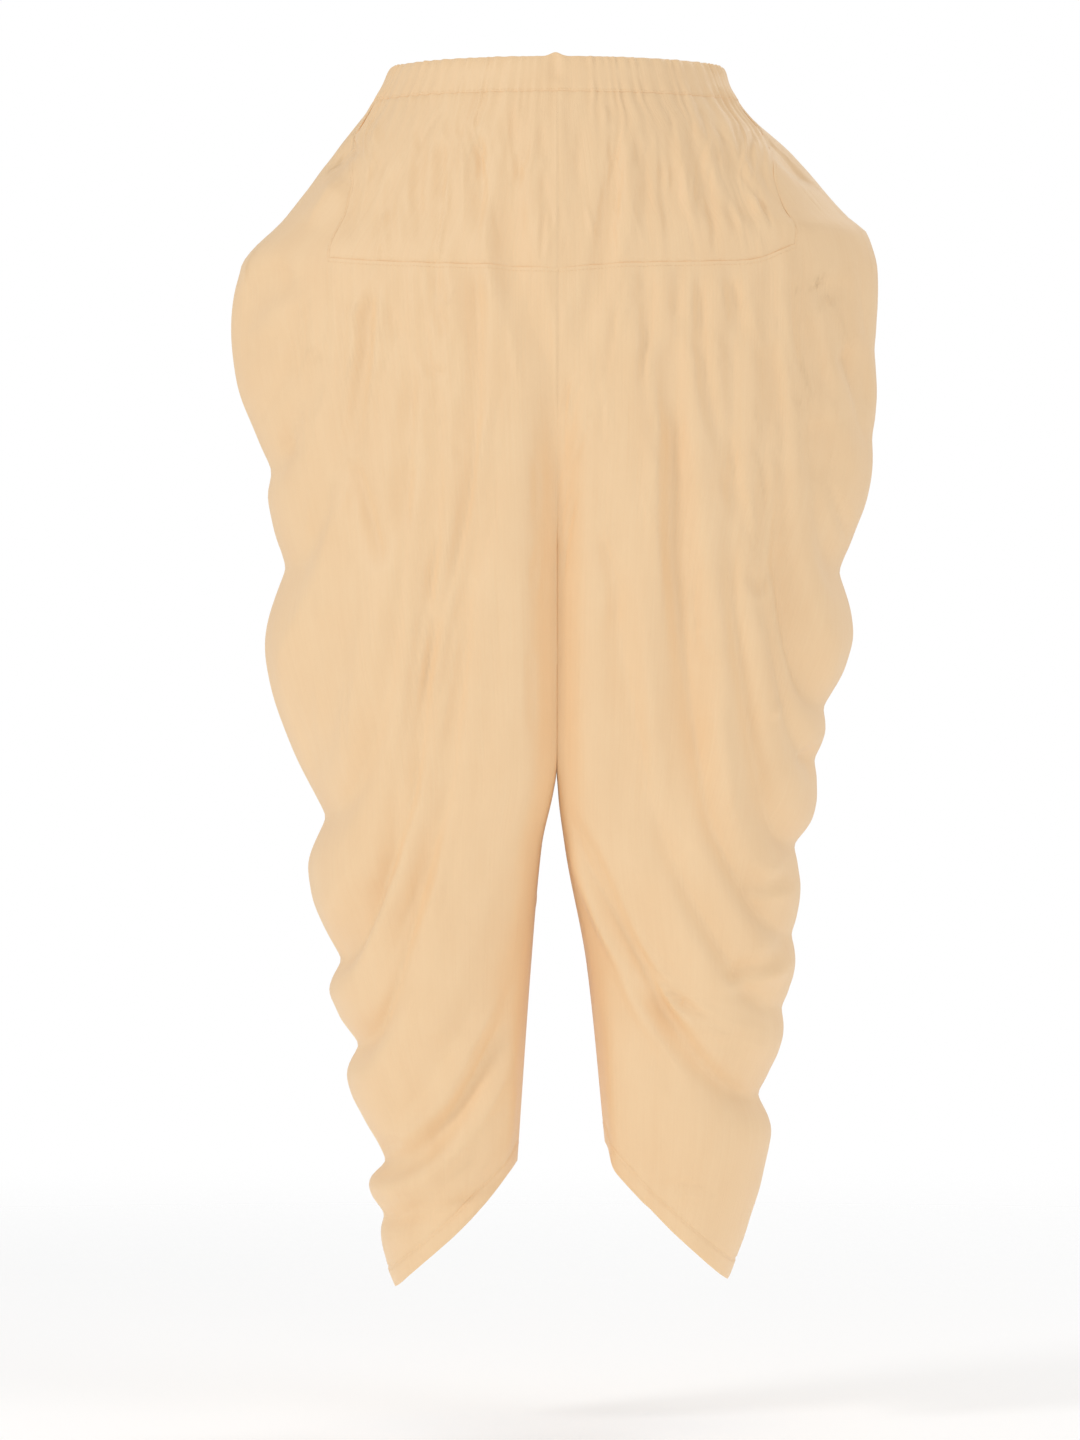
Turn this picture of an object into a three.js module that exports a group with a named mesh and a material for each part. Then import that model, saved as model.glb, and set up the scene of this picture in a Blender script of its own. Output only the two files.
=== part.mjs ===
import * as THREE from 'three';

// A draped salwar in the hollow form that it has when it is worn, in millimetres with +Z up.
// The origin is the centre of the waist opening at the top edge, and the front faces -Y.
// A place on the cloth is a station, from 0 on the outer side to 1 at the centre seam or the
// inseam, and a drop, the height below the waist. The front and the back are the two faces.

// Cloth and seams
const CLOTH = 2;
const DOUBLED_CLOTH = 3;
const SEAM_GAP = 0.3;
const CASING_DEPTH = 28;
const HEM_BAND = 12;

// Form of the body under the cloth
const YOKE_DROP = 162;
const CROTCH_DROP = 380;
const SIDE_ROUNDNESS = 0.58;
const LEG_ROUNDNESS = 0.54;
const CROTCH_ROUNDNESS = 0.1;
const CROTCH_BLEND = { from: 340, to: 650 };
const RISE_SPREAD = 220;
const RISE_SHARPNESS = 6;
const FRONT = { sign: -1, depth: 'front', riseStart: 250, shift: 0 };
const BACK = { sign: 1, depth: 'back', riseStart: 230, shift: 0.05 };
const DEPTHS = [
  { drop: 0, front: 95, back: 95 },
  { drop: 150, front: 124, back: 134 },
  { drop: 300, front: 132, back: 140 },
  { drop: 520, front: 108, back: 114 },
  { drop: 720, front: 86, back: 92 },
  { drop: 900, front: 58, back: 62 },
];

// How far the seam's own height bends the cloth below it, and where folds die away
const SEAM_BLEND = 150;
const SEAM_FADE = 0.14;
const PLEAT_PEAK = 0.35;

// The station and the drop over which the surface's direction is evened out
const EVEN_STATION = 0.012;
const EVEN_DROP = 3;

// Mesh density
const FOLD_COLUMNS = 12;
const LINE_STEP = 30;
const TOP_STEP = 0.085;
const WIDEST_TOP = 1.6;
const LINE_MERGE = 0.04;
const YOKE_ROWS = 5;
const HEM_LINES = 8;
const RISE_LINES = 5;
const LENGTH_SAMPLES = 48;

// Gathers: how many there are, and how high they stand at the casing and at the yoke seam
const GATHER = {
  front: 14, back: 12, casing: 60, high: 2.4, low: 1.0, casingHigh: 2.2, casingMiddle: 1.3,
};
const GATHER_STEPS = [0, 0.35, 0.7];
const CASING_STEPS = [0, 0.5];

// Each leg has one row for each fold, from the hip down. drop and out are the valley above
// the fold on the outer side, top is the station where that valley would meet the yoke seam,
// peak is where the fold is highest between its two valleys, crest is its height on the outer
// side and swell what it adds half way to the yoke. Pleats hang from the yoke seam.
const RIGHT = {
  side: -1,
  outline: [
    { drop: 0, out: 131 },
    { drop: 28, out: 145 },
    { drop: 71, out: 178 },
    { drop: 119, out: 215 },
  ],
  folds: [
    { drop: 162, out: 251, top: 0.0, peak: 0.5, crest: 15, swell: 4 },
    { drop: 321, out: 226, top: 0.2, peak: 0.3, crest: 7, swell: 5 },
    { drop: 398, out: 215, top: 0.335, peak: 0.37, crest: 29, swell: 6 },
    { drop: 596, out: 183, top: 0.53, peak: 0.39, crest: 20, swell: 7 },
    { drop: 710, out: 170, top: 0.62, peak: 0.33, crest: 15, swell: 7 },
    { drop: 777, out: 156, top: 0.75, peak: 0.25, crest: 18, swell: 8 },
    { drop: 870, out: 135, top: 1.5, peak: 0.42, crest: 15, swell: 6 },
    { drop: 912, out: 135, top: 3.0, peak: 0.2, crest: 6, swell: 4 },
    { drop: 969, out: 129, top: 12.0, peak: 0.5, crest: 0, swell: 0 },
  ],
  pleats: [
    { top: 0.286, depth: 6, length: 190 },
    { top: 0.34, depth: 5, length: 150 },
    { top: 0.42, depth: 6, length: 210 },
    { top: 0.53, depth: 6, length: 180 },
    { top: 0.63, depth: 6, length: 220 },
    { top: 0.75, depth: 6, length: 170 },
    { top: 0.845, depth: 4, length: 130 },
    { top: 1.0, depth: 0, length: 1 },
  ],
  inseam: [
    { drop: 0, in: 0 },
    { drop: 380, in: 0 },
    { drop: 562, in: 1.6 },
    { drop: 618, in: 12 },
    { drop: 713, in: 20.5 },
    { drop: 870, in: 31.5 },
  ],
  seam: [
    { station: 0.28, drop: 157 },
    { station: 0.45, drop: 161 },
    { station: 0.77, drop: 165 },
    { station: 1, drop: 168 },
  ],
  edge: [
    { drop: 28, station: 0.02 },
    { drop: 53, station: 0.035 },
    { drop: 95, station: 0.18 },
    { drop: 157, station: 0.286 },
  ],
  hem: { cornerOut: 31.7, cornerDrop: 869, tipOut: 129, tipDrop: 969, bow: 5 },
};
const LEFT = {
  side: 1,
  outline: [
    { drop: 0, out: 131 },
    { drop: 28, out: 143 },
    { drop: 71, out: 188 },
    { drop: 119, out: 231 },
    { drop: 133, out: 247 },
  ],
  folds: [
    { drop: 162, out: 254, top: 0.0, peak: 0.5, crest: 1, swell: 2 },
    { drop: 235, out: 252, top: 0.06, peak: 0.5, crest: 3, swell: 2 },
    { drop: 296, out: 250, top: 0.12, peak: 0.45, crest: 6, swell: 4 },
    { drop: 402, out: 224, top: 0.255, peak: 0.47, crest: 18, swell: 5 },
    { drop: 509, out: 211, top: 0.33, peak: 0.45, crest: 5, swell: 5 },
    { drop: 550, out: 204, top: 0.38, peak: 0.6, crest: 12, swell: 6 },
    { drop: 618, out: 188, top: 0.47, peak: 0.5, crest: 6, swell: 8 },
    { drop: 690, out: 186, top: 0.68, peak: 0.4, crest: 5, swell: 8 },
    { drop: 748, out: 178, top: 0.9, peak: 0.35, crest: 7, swell: 7 },
    { drop: 817, out: 159, top: 1.4, peak: 0.2, crest: 17, swell: 5 },
    { drop: 963, out: 136, top: 6.0, peak: 0.5, crest: 0, swell: 0 },
  ],
  pleats: [
    { top: 0.267, depth: 6, length: 170 },
    { top: 0.355, depth: 6, length: 200 },
    { top: 0.47, depth: 6, length: 160 },
    { top: 0.575, depth: 5, length: 210 },
    { top: 0.64, depth: 5, length: 180 },
    { top: 0.735, depth: 6, length: 200 },
    { top: 0.835, depth: 4, length: 140 },
    { top: 1.0, depth: 0, length: 1 },
  ],
  inseam: [
    { drop: 0, in: 0 },
    { drop: 380, in: 0 },
    { drop: 570, in: 0.8 },
    { drop: 618, in: 6 },
    { drop: 713, in: 23.5 },
    { drop: 854, in: 38 },
  ],
  seam: [
    { station: 0.26, drop: 146 },
    { station: 0.42, drop: 160 },
    { station: 0.82, drop: 164 },
    { station: 1, drop: 168 },
  ],
  edge: [
    { drop: 28, station: 0.02 },
    { drop: 47, station: 0.03 },
    { drop: 95, station: 0.184 },
    { drop: 146, station: 0.26 },
  ],
  hem: { cornerOut: 38, cornerDrop: 854, tipOut: 136, tipDrop: 963, bow: 9 },
};

const clamp = (value, low, high) => Math.min(Math.max(value, low), high);
const mix = (from, to, share) => from + (to - from) * share;

function ease(value) {
  const share = clamp(value, 0, 1);
  return share * share * (3 - 2 * share);
}

// A number between 0 and 1 that differs from one index to the next in no plain order
function uneven(index) {
  const wave = Math.sin(index * 12.9898 + 4.1) * 43758.5453;
  return wave - Math.floor(wave);
}

// A smooth curve through one column of a table, which never swings past its rows
function smooth(rows, across, column, at) {
  const last = rows.length - 1;
  if (at <= rows[0][across]) return rows[0][column];
  if (at >= rows[last][across]) return rows[last][column];
  const slope = (k) => (rows[k + 1][column] - rows[k][column]) / (rows[k + 1][across] - rows[k][across]);
  const tangent = (k) => {
    if (k === 0) return slope(0);
    if (k === last) return slope(last - 1);
    const before = slope(k - 1);
    const after = slope(k);
    return before * after <= 0 ? 0 : (2 * before * after) / (before + after);
  };
  const row = rows.findIndex((entry) => entry[across] > at) - 1;
  const step = rows[row + 1][across] - rows[row][across];
  const t = (at - rows[row][across]) / step;
  const rest = 1 - t;
  return (
    rest * rest * (1 + 2 * t) * rows[row][column] +
    t * t * (3 - 2 * t) * rows[row + 1][column] +
    step * t * rest * (rest * tangent(row) - t * tangent(row + 1))
  );
}

// A curve of straight stretches through one column of a table
function straight(rows, across, column, at) {
  const last = rows.length - 1;
  const next = at < rows[last][across] ? Math.max(rows.findIndex((entry) => entry[across] > at), 1) : last;
  const [from, to] = [rows[next - 1], rows[next]];
  return mix(from[column], to[column], (at - from[across]) / (to[across] - from[across]));
}

// The value of one column between two rows, where line counts the rows and parts of a row
function between(rows, column, line) {
  const row = clamp(Math.floor(line), 0, rows.length - 2);
  return mix(rows[row][column], rows[row + 1][column], line - row);
}

// The value of input in [low, high] at which a rising test turns from false to true
function search(low, high, test) {
  let from = low;
  let to = high;
  for (let turn = 0; turn < 40; turn += 1) {
    const middle = (from + to) / 2;
    if (test(middle)) to = middle;
    else from = middle;
  }
  return (from + to) / 2;
}

const outerReach = (leg, drop) => smooth([...leg.outline, ...leg.folds], 'drop', 'out', drop);
const innerReach = (leg, drop) => smooth(leg.inseam, 'drop', 'in', drop);
const seamDrop = (leg, station) => smooth(leg.seam, 'station', 'drop', station);
const yokeEdge = (leg, drop) => smooth(leg.edge, 'drop', 'station', drop);

// 0 where the cloth hangs from the hip, 1 where it goes round the leg: along a quarter round
// at the centre seam, and more gently and further down towards the side
function riseShare(face, station, drop) {
  const end = CROTCH_DROP + RISE_SPREAD * (1 - station);
  const share = clamp((drop - face.riseStart) / (end - face.riseStart), 0, 1);
  return mix(ease(share), 1 - Math.sqrt(1 - share * share), station ** RISE_SHARPNESS);
}

// How round the leg's inner half is: nearly square at the crotch, where the two legs meet
function innerRoundness(drop) {
  const { from, to } = CROTCH_BLEND;
  return mix(CROTCH_ROUNDNESS, LEG_ROUNDNESS, ease((drop - from) / (to - from)));
}

// The point of the plain body surface, before folds, pleats and gathers
function bodyPoint(leg, face, station, drop, clear = 0) {
  const out = outerReach(leg, drop);
  const inside = innerReach(leg, drop) + clear;
  const depth = smooth(DEPTHS, 'drop', face.depth, drop);
  const hip = Math.max(0, 1 - (1 - station) ** 2) ** SIDE_ROUNDNESS;
  const roundness = station > 0.5 ? innerRoundness(drop) : LEG_ROUNDNESS;
  const lobe = Math.max(0, 1 - (1 - 2 * station) ** 2) ** roundness;
  return new THREE.Vector3(
    leg.side * mix(out, inside, station),
    face.sign * depth * mix(hip, lobe, riseShare(face, station, drop)),
    -drop,
  );
}

const mirrored = (face) => (face === FRONT ? BACK : FRONT);

// The outward direction of the plain body surface, evened out near the side line and seams
function bodyNormal(leg, face, station, drop) {
  const middle = Math.min(station, 1 - EVEN_STATION);
  const before = middle - EVEN_STATION;
  const along = bodyPoint(leg, face, middle + EVEN_STATION, drop);
  along.sub(bodyPoint(leg, before < 0 ? mirrored(face) : face, Math.abs(before), drop));
  const down = bodyPoint(leg, face, middle, drop + EVEN_DROP);
  down.sub(bodyPoint(leg, face, middle, drop - EVEN_DROP));
  const normal = down.cross(along).normalize();
  return normal.multiplyScalar(leg.side * face.sign);
}

// A fold line is a quarter ellipse that falls from its top on the yoke seam and turns level
// on the outer side. The share runs from 0 on the outer side to 1 at the yoke seam.
function lineTop(leg, face, line) {
  const top = between(leg.folds, 'top', line);
  return top < 1 ? top + face.shift * 4 * top * (1 - top) : top;
}

function onLine(leg, face, line, share) {
  const reach = between(leg.folds, 'drop', line) - YOKE_DROP;
  const lean = Math.sin((share * Math.PI) / 2) ** 2;
  const station = Math.min(lineTop(leg, face, line) * lean, 1);
  const fall = reach * Math.sqrt(1 - lean * lean);
  const bend = (seamDrop(leg, station) - YOKE_DROP) * (1 - ease(fall / SEAM_BLEND));
  return { line, share, station, fall, drop: YOKE_DROP + fall + bend };
}

// The share at which a fold line reaches the centre seam or the inseam
function shareAtSeam(leg, face, line) {
  const top = lineTop(leg, face, line);
  return top <= 1 ? 1 : (2 / Math.PI) * Math.asin(Math.sqrt(1 / top));
}

// The drop of the slanting hem at a distance from the centre
function hemDrop(leg, out) {
  const { cornerOut, cornerDrop, tipOut, tipDrop, bow } = leg.hem;
  const share = clamp((out - cornerOut) / (tipOut - cornerOut), 0, 1);
  return mix(cornerDrop, tipDrop, share) + bow * 4 * share * (1 - share);
}

const outAt = (leg, station, drop) => mix(outerReach(leg, drop), innerReach(leg, drop), station);

function aboveHem(leg, place, lift) {
  return hemDrop(leg, outAt(leg, place.station, place.drop)) - lift - place.drop;
}

// A rounded ridge between two valleys
function ridge(share, peak) {
  const turn = share < peak ? share / peak : 1 - (share - peak) / (1 - peak);
  return Math.sin((Math.PI / 2) * clamp(turn, 0, 1));
}

function foldHeight(leg, place) {
  const row = leg.folds[clamp(Math.floor(place.line), 0, leg.folds.length - 2)];
  const share = place.share;
  const size = row.crest * (1 - share) ** 2 + row.swell * 4 * share * (1 - share);
  return size * ridge(place.line - Math.floor(place.line), row.peak);
}

function pleatHeight(leg, place) {
  const top = between(leg.folds, 'top', place.line);
  const index = leg.pleats.findIndex((pleat) => pleat.top > top) - 1;
  if (index < 0) return 0;
  const pleat = leg.pleats[index];
  const share = (top - pleat.top) / (leg.pleats[index + 1].top - pleat.top);
  return pleat.depth * ridge(share, PLEAT_PEAK) * (1 - ease(place.fall / pleat.length));
}

// A fold line's rows: its valleys and crests, closer ones where lines spread, and the lines
// through the corners of the cloth
function lineRows(leg) {
  const firstLine = (test) => search(0, leg.folds.length - 1, test);
  const lift = bandLift(leg);
  const corner = {
    yokeEdge: firstLine((line) => lineTop(leg, FRONT, line) > leg.edge.at(-1).station),
    yokeEnd: firstLine((line) => lineTop(leg, FRONT, line) > 1),
    crotch: firstLine((line) => seamEnd(leg, FRONT, line).drop > CROTCH_DROP),
    hem: firstLine((line) => aboveHem(leg, seamEnd(leg, FRONT, line), lift) < 0),
    tip: firstLine((line) => aboveHem(leg, onLine(leg, FRONT, line, 0), lift) < 0),
  };
  const fixed = [0, ...Object.values(corner)];
  for (let step = 1; step < HEM_LINES; step += 1) fixed.push(mix(corner.hem, corner.tip, step / HEM_LINES));
  for (let step = 0; step < RISE_LINES; step += 1) {
    const drop = mix(FRONT.riseStart, CROTCH_DROP, step / RISE_LINES);
    fixed.push(firstLine((line) => seamEnd(leg, FRONT, line).drop > drop));
  }
  const free = [];
  leg.folds.slice(0, -1).forEach((fold, index) => {
    const next = leg.folds[index + 1];
    const half = (span, step) => Math.ceil(span / step / 2);
    const spread = Math.min(next.top, WIDEST_TOP) - fold.top;
    const count = Math.max(2, half(next.drop - fold.drop, LINE_STEP), half(spread, TOP_STEP));
    free.push(index);
    for (let step = 1; step <= count; step += 1) free.push(index + (fold.peak * step) / count);
    for (let step = 1; step < count; step += 1) free.push(index + mix(fold.peak, 1, step / count));
  });
  leg.pleats.forEach((pleat) => {
    free.push(firstLine((line) => between(leg.folds, 'top', line) > pleat.top));
  });
  const kept = [...fixed];
  free.forEach((line) => {
    if (line < corner.hem && kept.every((other) => Math.abs(other - line) > LINE_MERGE)) kept.push(line);
  });
  return { rows: kept.sort((a, b) => a - b), corner };
}

const seamEnd = (leg, face, line) => onLine(leg, face, line, shareAtSeam(leg, face, line));
const LINES = new Map();

function linesOf(leg) {
  if (!LINES.has(leg)) LINES.set(leg, lineRows(leg));
  return LINES.get(leg);
}

// The ends of the leg's rows along the yoke seam, which the yoke's lower edge follows
function seamPoints(leg, face) {
  const { rows, corner } = linesOf(leg);
  return rows
    .filter((line) => line >= corner.yokeEdge && line <= corner.yokeEnd)
    .map((line) => seamEnd(leg, face, line));
}

// How far above the hem's edge its band ends, measured upright on the slanting hem
function bandLift(leg) {
  const { cornerOut, cornerDrop, tipOut, tipDrop } = leg.hem;
  return HEM_BAND * Math.hypot(1, (tipDrop - cornerDrop) / (tipOut - cornerOut));
}

// A wall of cloth: faces between its outer and inner points, and a rim along every open edge
class Wall {
  constructor(thickness) {
    this.thickness = thickness;
    this.outer = [];
    this.inner = [];
    this.quads = [];
  }

  point(leg, face, station, drop, height, clear = 0) {
    const base = bodyPoint(leg, face, station, drop, clear);
    const normal = bodyNormal(leg, face, station, drop);
    this.outer.push(base.clone().addScaledVector(normal, height));
    this.inner.push(base.clone().addScaledVector(normal, height - this.thickness));
    return this.outer.length - 1;
  }

  // One point for two that meet on the inseam, with the mean of their two inner points
  join(first, second) {
    this.inner[first].lerp(this.inner[second], 0.5);
    return first;
  }

  geometry(turned) {
    const triangles = [];
    this.quads.forEach(([a, b, c, d]) => {
      [[a, b, c], [a, c, d]].forEach((corners) => {
        if (new Set(corners).size === 3) triangles.push(turned ? corners.reverse() : corners);
      });
    });
    const edges = new Set();
    triangles.forEach(([a, b, c]) => {
      [[a, b], [b, c], [c, a]].forEach(([from, to]) => edges.add(`${from} ${to}`));
    });
    const count = this.outer.length;
    const faces = [...triangles, ...triangles.map(([a, b, c]) => [a + count, c + count, b + count])];
    edges.forEach((edge) => {
      const [from, to] = edge.split(' ').map(Number);
      if (edges.has(`${to} ${from}`)) return;
      faces.push([to, from, from + count], [to, from + count, to + count]);
    });
    const geometry = new THREE.BufferGeometry();
    const places = [...this.outer, ...this.inner].flatMap((place) => place.toArray());
    geometry.setAttribute('position', new THREE.Float32BufferAttribute(places, 3));
    geometry.setIndex(faces.flat());
    return geometry;
  }
}

function legPoint(wall, leg, face, place) {
  const fade = ease((1 - place.station) / SEAM_FADE);
  const height = (foldHeight(leg, place) + pleatHeight(leg, place)) * fade;
  return wall.point(leg, face, place.station, place.drop, height, SEAM_GAP / 2);
}

// The share at which a row of the leg ends: at the yoke seam, the inseam or the hem band
function rowEnd(leg, face, line, corner) {
  const seam = shareAtSeam(leg, face, line);
  if (line <= corner.hem) return seam;
  return search(0, seam, (share) => aboveHem(leg, onLine(leg, face, line, share), bandLift(leg)) < 0);
}

// Shares along a row from the outer side to its end, closer where the cloth turns round the
// side and otherwise at even lengths of cloth
function evenShares(leg, face, line, corner) {
  const end = rowEnd(leg, face, line, corner);
  const lengths = [{ share: 0, length: 0 }];
  let before = null;
  for (let sample = 0; sample <= LENGTH_SAMPLES; sample += 1) {
    const share = (end * sample) / LENGTH_SAMPLES;
    const place = onLine(leg, face, line, share);
    const point = bodyPoint(leg, face, place.station, place.drop);
    if (before) lengths.push({ share, length: lengths.at(-1).length + point.distanceTo(before) });
    before = point;
  }
  const whole = lengths.at(-1).length;
  return Array.from({ length: FOLD_COLUMNS + 1 }, (_, column) => {
    const part = column / FOLD_COLUMNS;
    if (part === 1) return end;
    return mix(end * part, straight(lengths, 'length', 'share', whole * part), 0.5);
  });
}

// One leg's cloth: its fold lines from the hip to the hem, and the gore beside the yoke
function legWall(leg) {
  const wall = new Wall(CLOTH);
  const { rows, corner } = linesOf(leg);
  const grid = rows.map((line) => {
    const pole = line === 0 || line === corner.tip;
    const points = new Map();
    const shares = new Map([FRONT, BACK].map((face) => [face, evenShares(leg, face, line, corner)]));
    for (let column = -FOLD_COLUMNS; column <= FOLD_COLUMNS; column += 1) {
      const face = column < 0 ? FRONT : BACK;
      if (pole && column > -FOLD_COLUMNS) {
        points.set(column, points.get(-FOLD_COLUMNS));
        continue;
      }
      const share = pole ? 0 : shares.get(face)[Math.abs(column)];
      const place = onLine(leg, face, line, share);
      if (line <= corner.yokeEnd && line >= corner.yokeEdge && share === 1) place.drop += SEAM_GAP / 2;
      points.set(column, legPoint(wall, leg, face, place));
    }
    const closed = line >= corner.crotch && line <= corner.hem;
    if (closed) points.set(FOLD_COLUMNS, wall.join(points.get(-FOLD_COLUMNS), points.get(FOLD_COLUMNS)));
    return points;
  });
  for (let row = 0; row < grid.length - 1; row += 1) {
    for (let column = -FOLD_COLUMNS; column < FOLD_COLUMNS; column += 1) {
      const above = grid[row];
      const below = grid[row + 1];
      wall.quads.push([above.get(column), below.get(column), below.get(column + 1), above.get(column + 1)]);
    }
  }
  addGore(wall, leg, rows, corner, grid);
  return wall;
}

function addGore(wall, leg, rows, corner, grid) {
  const lines = rows.filter((line) => line <= corner.yokeEdge);
  const casingSeam = CASING_DEPTH + SEAM_GAP / 2;
  let sideColumn = null;
  [FRONT, BACK].forEach((face) => {
    const end = face === FRONT ? -FOLD_COLUMNS : FOLD_COLUMNS;
    const widest = lineTop(leg, face, corner.yokeEdge);
    const columns = lines.map((line, index) => {
      if (index === 0 && sideColumn) return sideColumn;
      const column = [grid[index].get(end)];
      const bottom = seamEnd(leg, face, line).drop;
      for (let row = 1; row <= YOKE_ROWS; row += 1) {
        const drop = mix(bottom, casingSeam, row / YOKE_ROWS);
        const gap = SEAM_GAP / 2 / outerReach(leg, drop);
        const station = (lineTop(leg, face, line) / widest) * (edgeStation(leg, face, drop) - gap);
        column.push(wall.point(leg, face, station, drop, 0, SEAM_GAP / 2));
      }
      return column;
    });
    [sideColumn] = columns;
    for (let index = 0; index < columns.length - 1; index += 1) {
      const [near, far] = [columns[index], columns[index + 1]];
      for (let row = 0; row < YOKE_ROWS; row += 1) {
        const quad = [near[row + 1], far[row + 1], far[row], near[row]];
        wall.quads.push(face === FRONT ? quad : quad.reverse());
      }
    }
  });
}

// A gathered cloth's height at a place along its row of gathers
function gatherHeight(place, size) {
  const index = Math.floor(place);
  return size * (0.45 + 0.55 * uneven(index)) * Math.sin(Math.PI * (place - index)) ** 2;
}

// The columns of one half of a yoke, from its side edge to the centre
function yokeColumns(leg, face, gathers) {
  const columns = [];
  for (let index = 0; index < gathers; index += 1) {
    GATHER_STEPS.forEach((step) => {
      columns.push({ leg, face, gather: index + step, share: (index + step) / gathers });
    });
  }
  columns.push({ leg, face, gather: gathers, share: 1 });
  return columns;
}

// The station of the yoke's side edge on a face, and of the leg's gore beside it
function edgeStation(leg, face, drop) {
  const widest = lineTop(leg, face, linesOf(leg).corner.yokeEdge);
  return (yokeEdge(leg, drop) * widest) / leg.edge.at(-1).station;
}

function yokeWall(columns, clear) {
  const wall = new Wall(CLOTH);
  const grid = columns.map(({ leg, face, gather, share }) => {
    const seam = seamPoints(leg, face);
    const stationAt = (drop) => {
      const edge = edgeStation(leg, face, drop) + SEAM_GAP / 2 / outerReach(leg, drop);
      return 1 - Math.cos(mix(Math.acos(1 - edge), Math.PI / 2, share));
    };
    const top = CASING_DEPTH + SEAM_GAP / 2;
    const bottom = straight(seam, 'station', 'drop', stationAt(YOKE_DROP)) - SEAM_GAP / 2;
    const points = [];
    for (let row = 0; row <= YOKE_ROWS; row += 1) {
      const drop = mix(top, bottom, row / YOKE_ROWS);
      const height = gatherHeight(gather, mix(GATHER.high, GATHER.low, row / YOKE_ROWS));
      points.push(wall.point(leg, face, stationAt(drop), drop, height, clear));
    }
    return points;
  });
  for (let column = 0; column < grid.length - 1; column += 1) {
    const [near, far] = [grid[column], grid[column + 1]];
    for (let row = 0; row < YOKE_ROWS; row += 1) {
      wall.quads.push([near[row], near[row + 1], far[row + 1], far[row]]);
    }
  }
  return wall;
}

// The casing runs all round: quarter by quarter from the left side to the front
function casingWall() {
  const wall = new Wall(DOUBLED_CLOTH);
  const quarters = [[LEFT, FRONT, 1], [RIGHT, FRONT, -1], [RIGHT, BACK, 1], [LEFT, BACK, -1]];
  const perQuarter = GATHER.casing / quarters.length;
  const levels = [
    { drop: 0, size: GATHER.casingHigh },
    { drop: CASING_DEPTH / 2, size: GATHER.casingMiddle },
    { drop: CASING_DEPTH - SEAM_GAP / 2, size: GATHER.casingHigh },
  ];
  const rings = [];
  quarters.forEach(([leg, face, way], quarter) => {
    for (let index = 0; index < perQuarter; index += 1) {
      CASING_STEPS.forEach((step) => {
        const share = (index + step) / perQuarter;
        const turn = (Math.PI / 2) * (way > 0 ? share : 1 - share);
        const gather = quarter * perQuarter + index + step;
        rings.push(levels.map(({ drop, size }) =>
          wall.point(leg, face, 1 - Math.cos(turn), drop, gatherHeight(gather, size))));
      });
    }
  });
  rings.forEach((ring, index) => {
    const next = rings[(index + 1) % rings.length];
    for (let row = 0; row < ring.length - 1; row += 1) {
      wall.quads.push([ring[row + 1], ring[row], next[row], next[row + 1]]);
    }
  });
  return wall;
}

// The fold line that passes a station at a drop
function lineThrough(leg, face, station, drop) {
  const fall = Math.max(drop - YOKE_DROP, 0);
  const line = search(0, leg.folds.length - 1, (test) => {
    const reach = between(leg.folds, 'drop', test) - YOKE_DROP;
    return (station / lineTop(leg, face, test)) ** 2 + (fall / reach) ** 2 < 1;
  });
  const lean = clamp(station / lineTop(leg, face, line), 0, 1);
  return { line, station, fall, drop, share: (2 / Math.PI) * Math.asin(Math.sqrt(lean)) };
}

// The turned hem: a doubled band under the leg's lower edge, all round
function hemWall(leg) {
  const wall = new Wall(DOUBLED_CLOTH);
  const { rows, corner } = linesOf(leg);
  const lines = rows.filter((line) => line >= corner.hem);
  const ring = [
    ...lines.map((line) => ({ line, face: FRONT })),
    ...lines.slice(1, -1).reverse().map((line) => ({ line, face: BACK })),
  ];
  const columns = ring.map(({ line, face }) => {
    const edge = onLine(leg, face, line, line === corner.tip ? 0 : rowEnd(leg, face, line, corner));
    const top = edge.drop + SEAM_GAP * Math.SQRT2;
    const belowHem = (drop) => aboveHem(leg, { station: edge.station, drop }, 0) < 0;
    const bottom = search(top, leg.hem.tipDrop + 1, belowHem);
    return [top, bottom].map((drop) => {
      const point = legPoint(wall, leg, face, lineThrough(leg, face, edge.station, drop));
      if (line !== corner.hem) return point;
      return wall.join(point, legPoint(wall, leg, BACK, lineThrough(leg, BACK, edge.station, drop)));
    });
  });
  columns.forEach((column, index) => {
    const next = columns[(index + 1) % columns.length];
    wall.quads.push([column[0], column[1], next[1], next[0]]);
  });
  return wall;
}

const cloth = new THREE.MeshStandardMaterial({ color: 0xebcba3, roughness: 0.72, metalness: 0 });

function piece(name, wall, turned = false) {
  const mesh = new THREE.Mesh(wall.geometry(turned), cloth);
  mesh.name = name;
  return mesh;
}

const salwar = new THREE.Group();
salwar.add(
  piece('waist_casing', casingWall()),
  piece('yoke_front_right', yokeWall(yokeColumns(RIGHT, FRONT, GATHER.front), SEAM_GAP / 2)),
  piece('yoke_front_left', yokeWall(yokeColumns(LEFT, FRONT, GATHER.front), SEAM_GAP / 2), true),
  piece('yoke_back', yokeWall([
    ...yokeColumns(RIGHT, BACK, GATHER.back).slice(0, -1),
    ...yokeColumns(LEFT, BACK, GATHER.back).reverse(),
  ], 0), true),
  piece('leg_right', legWall(RIGHT), true),
  piece('leg_left', legWall(LEFT)),
  piece('hem_right', hemWall(RIGHT), true),
  piece('hem_left', hemWall(LEFT)),
);

export default salwar;
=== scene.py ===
import math
from types import SimpleNamespace

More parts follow.
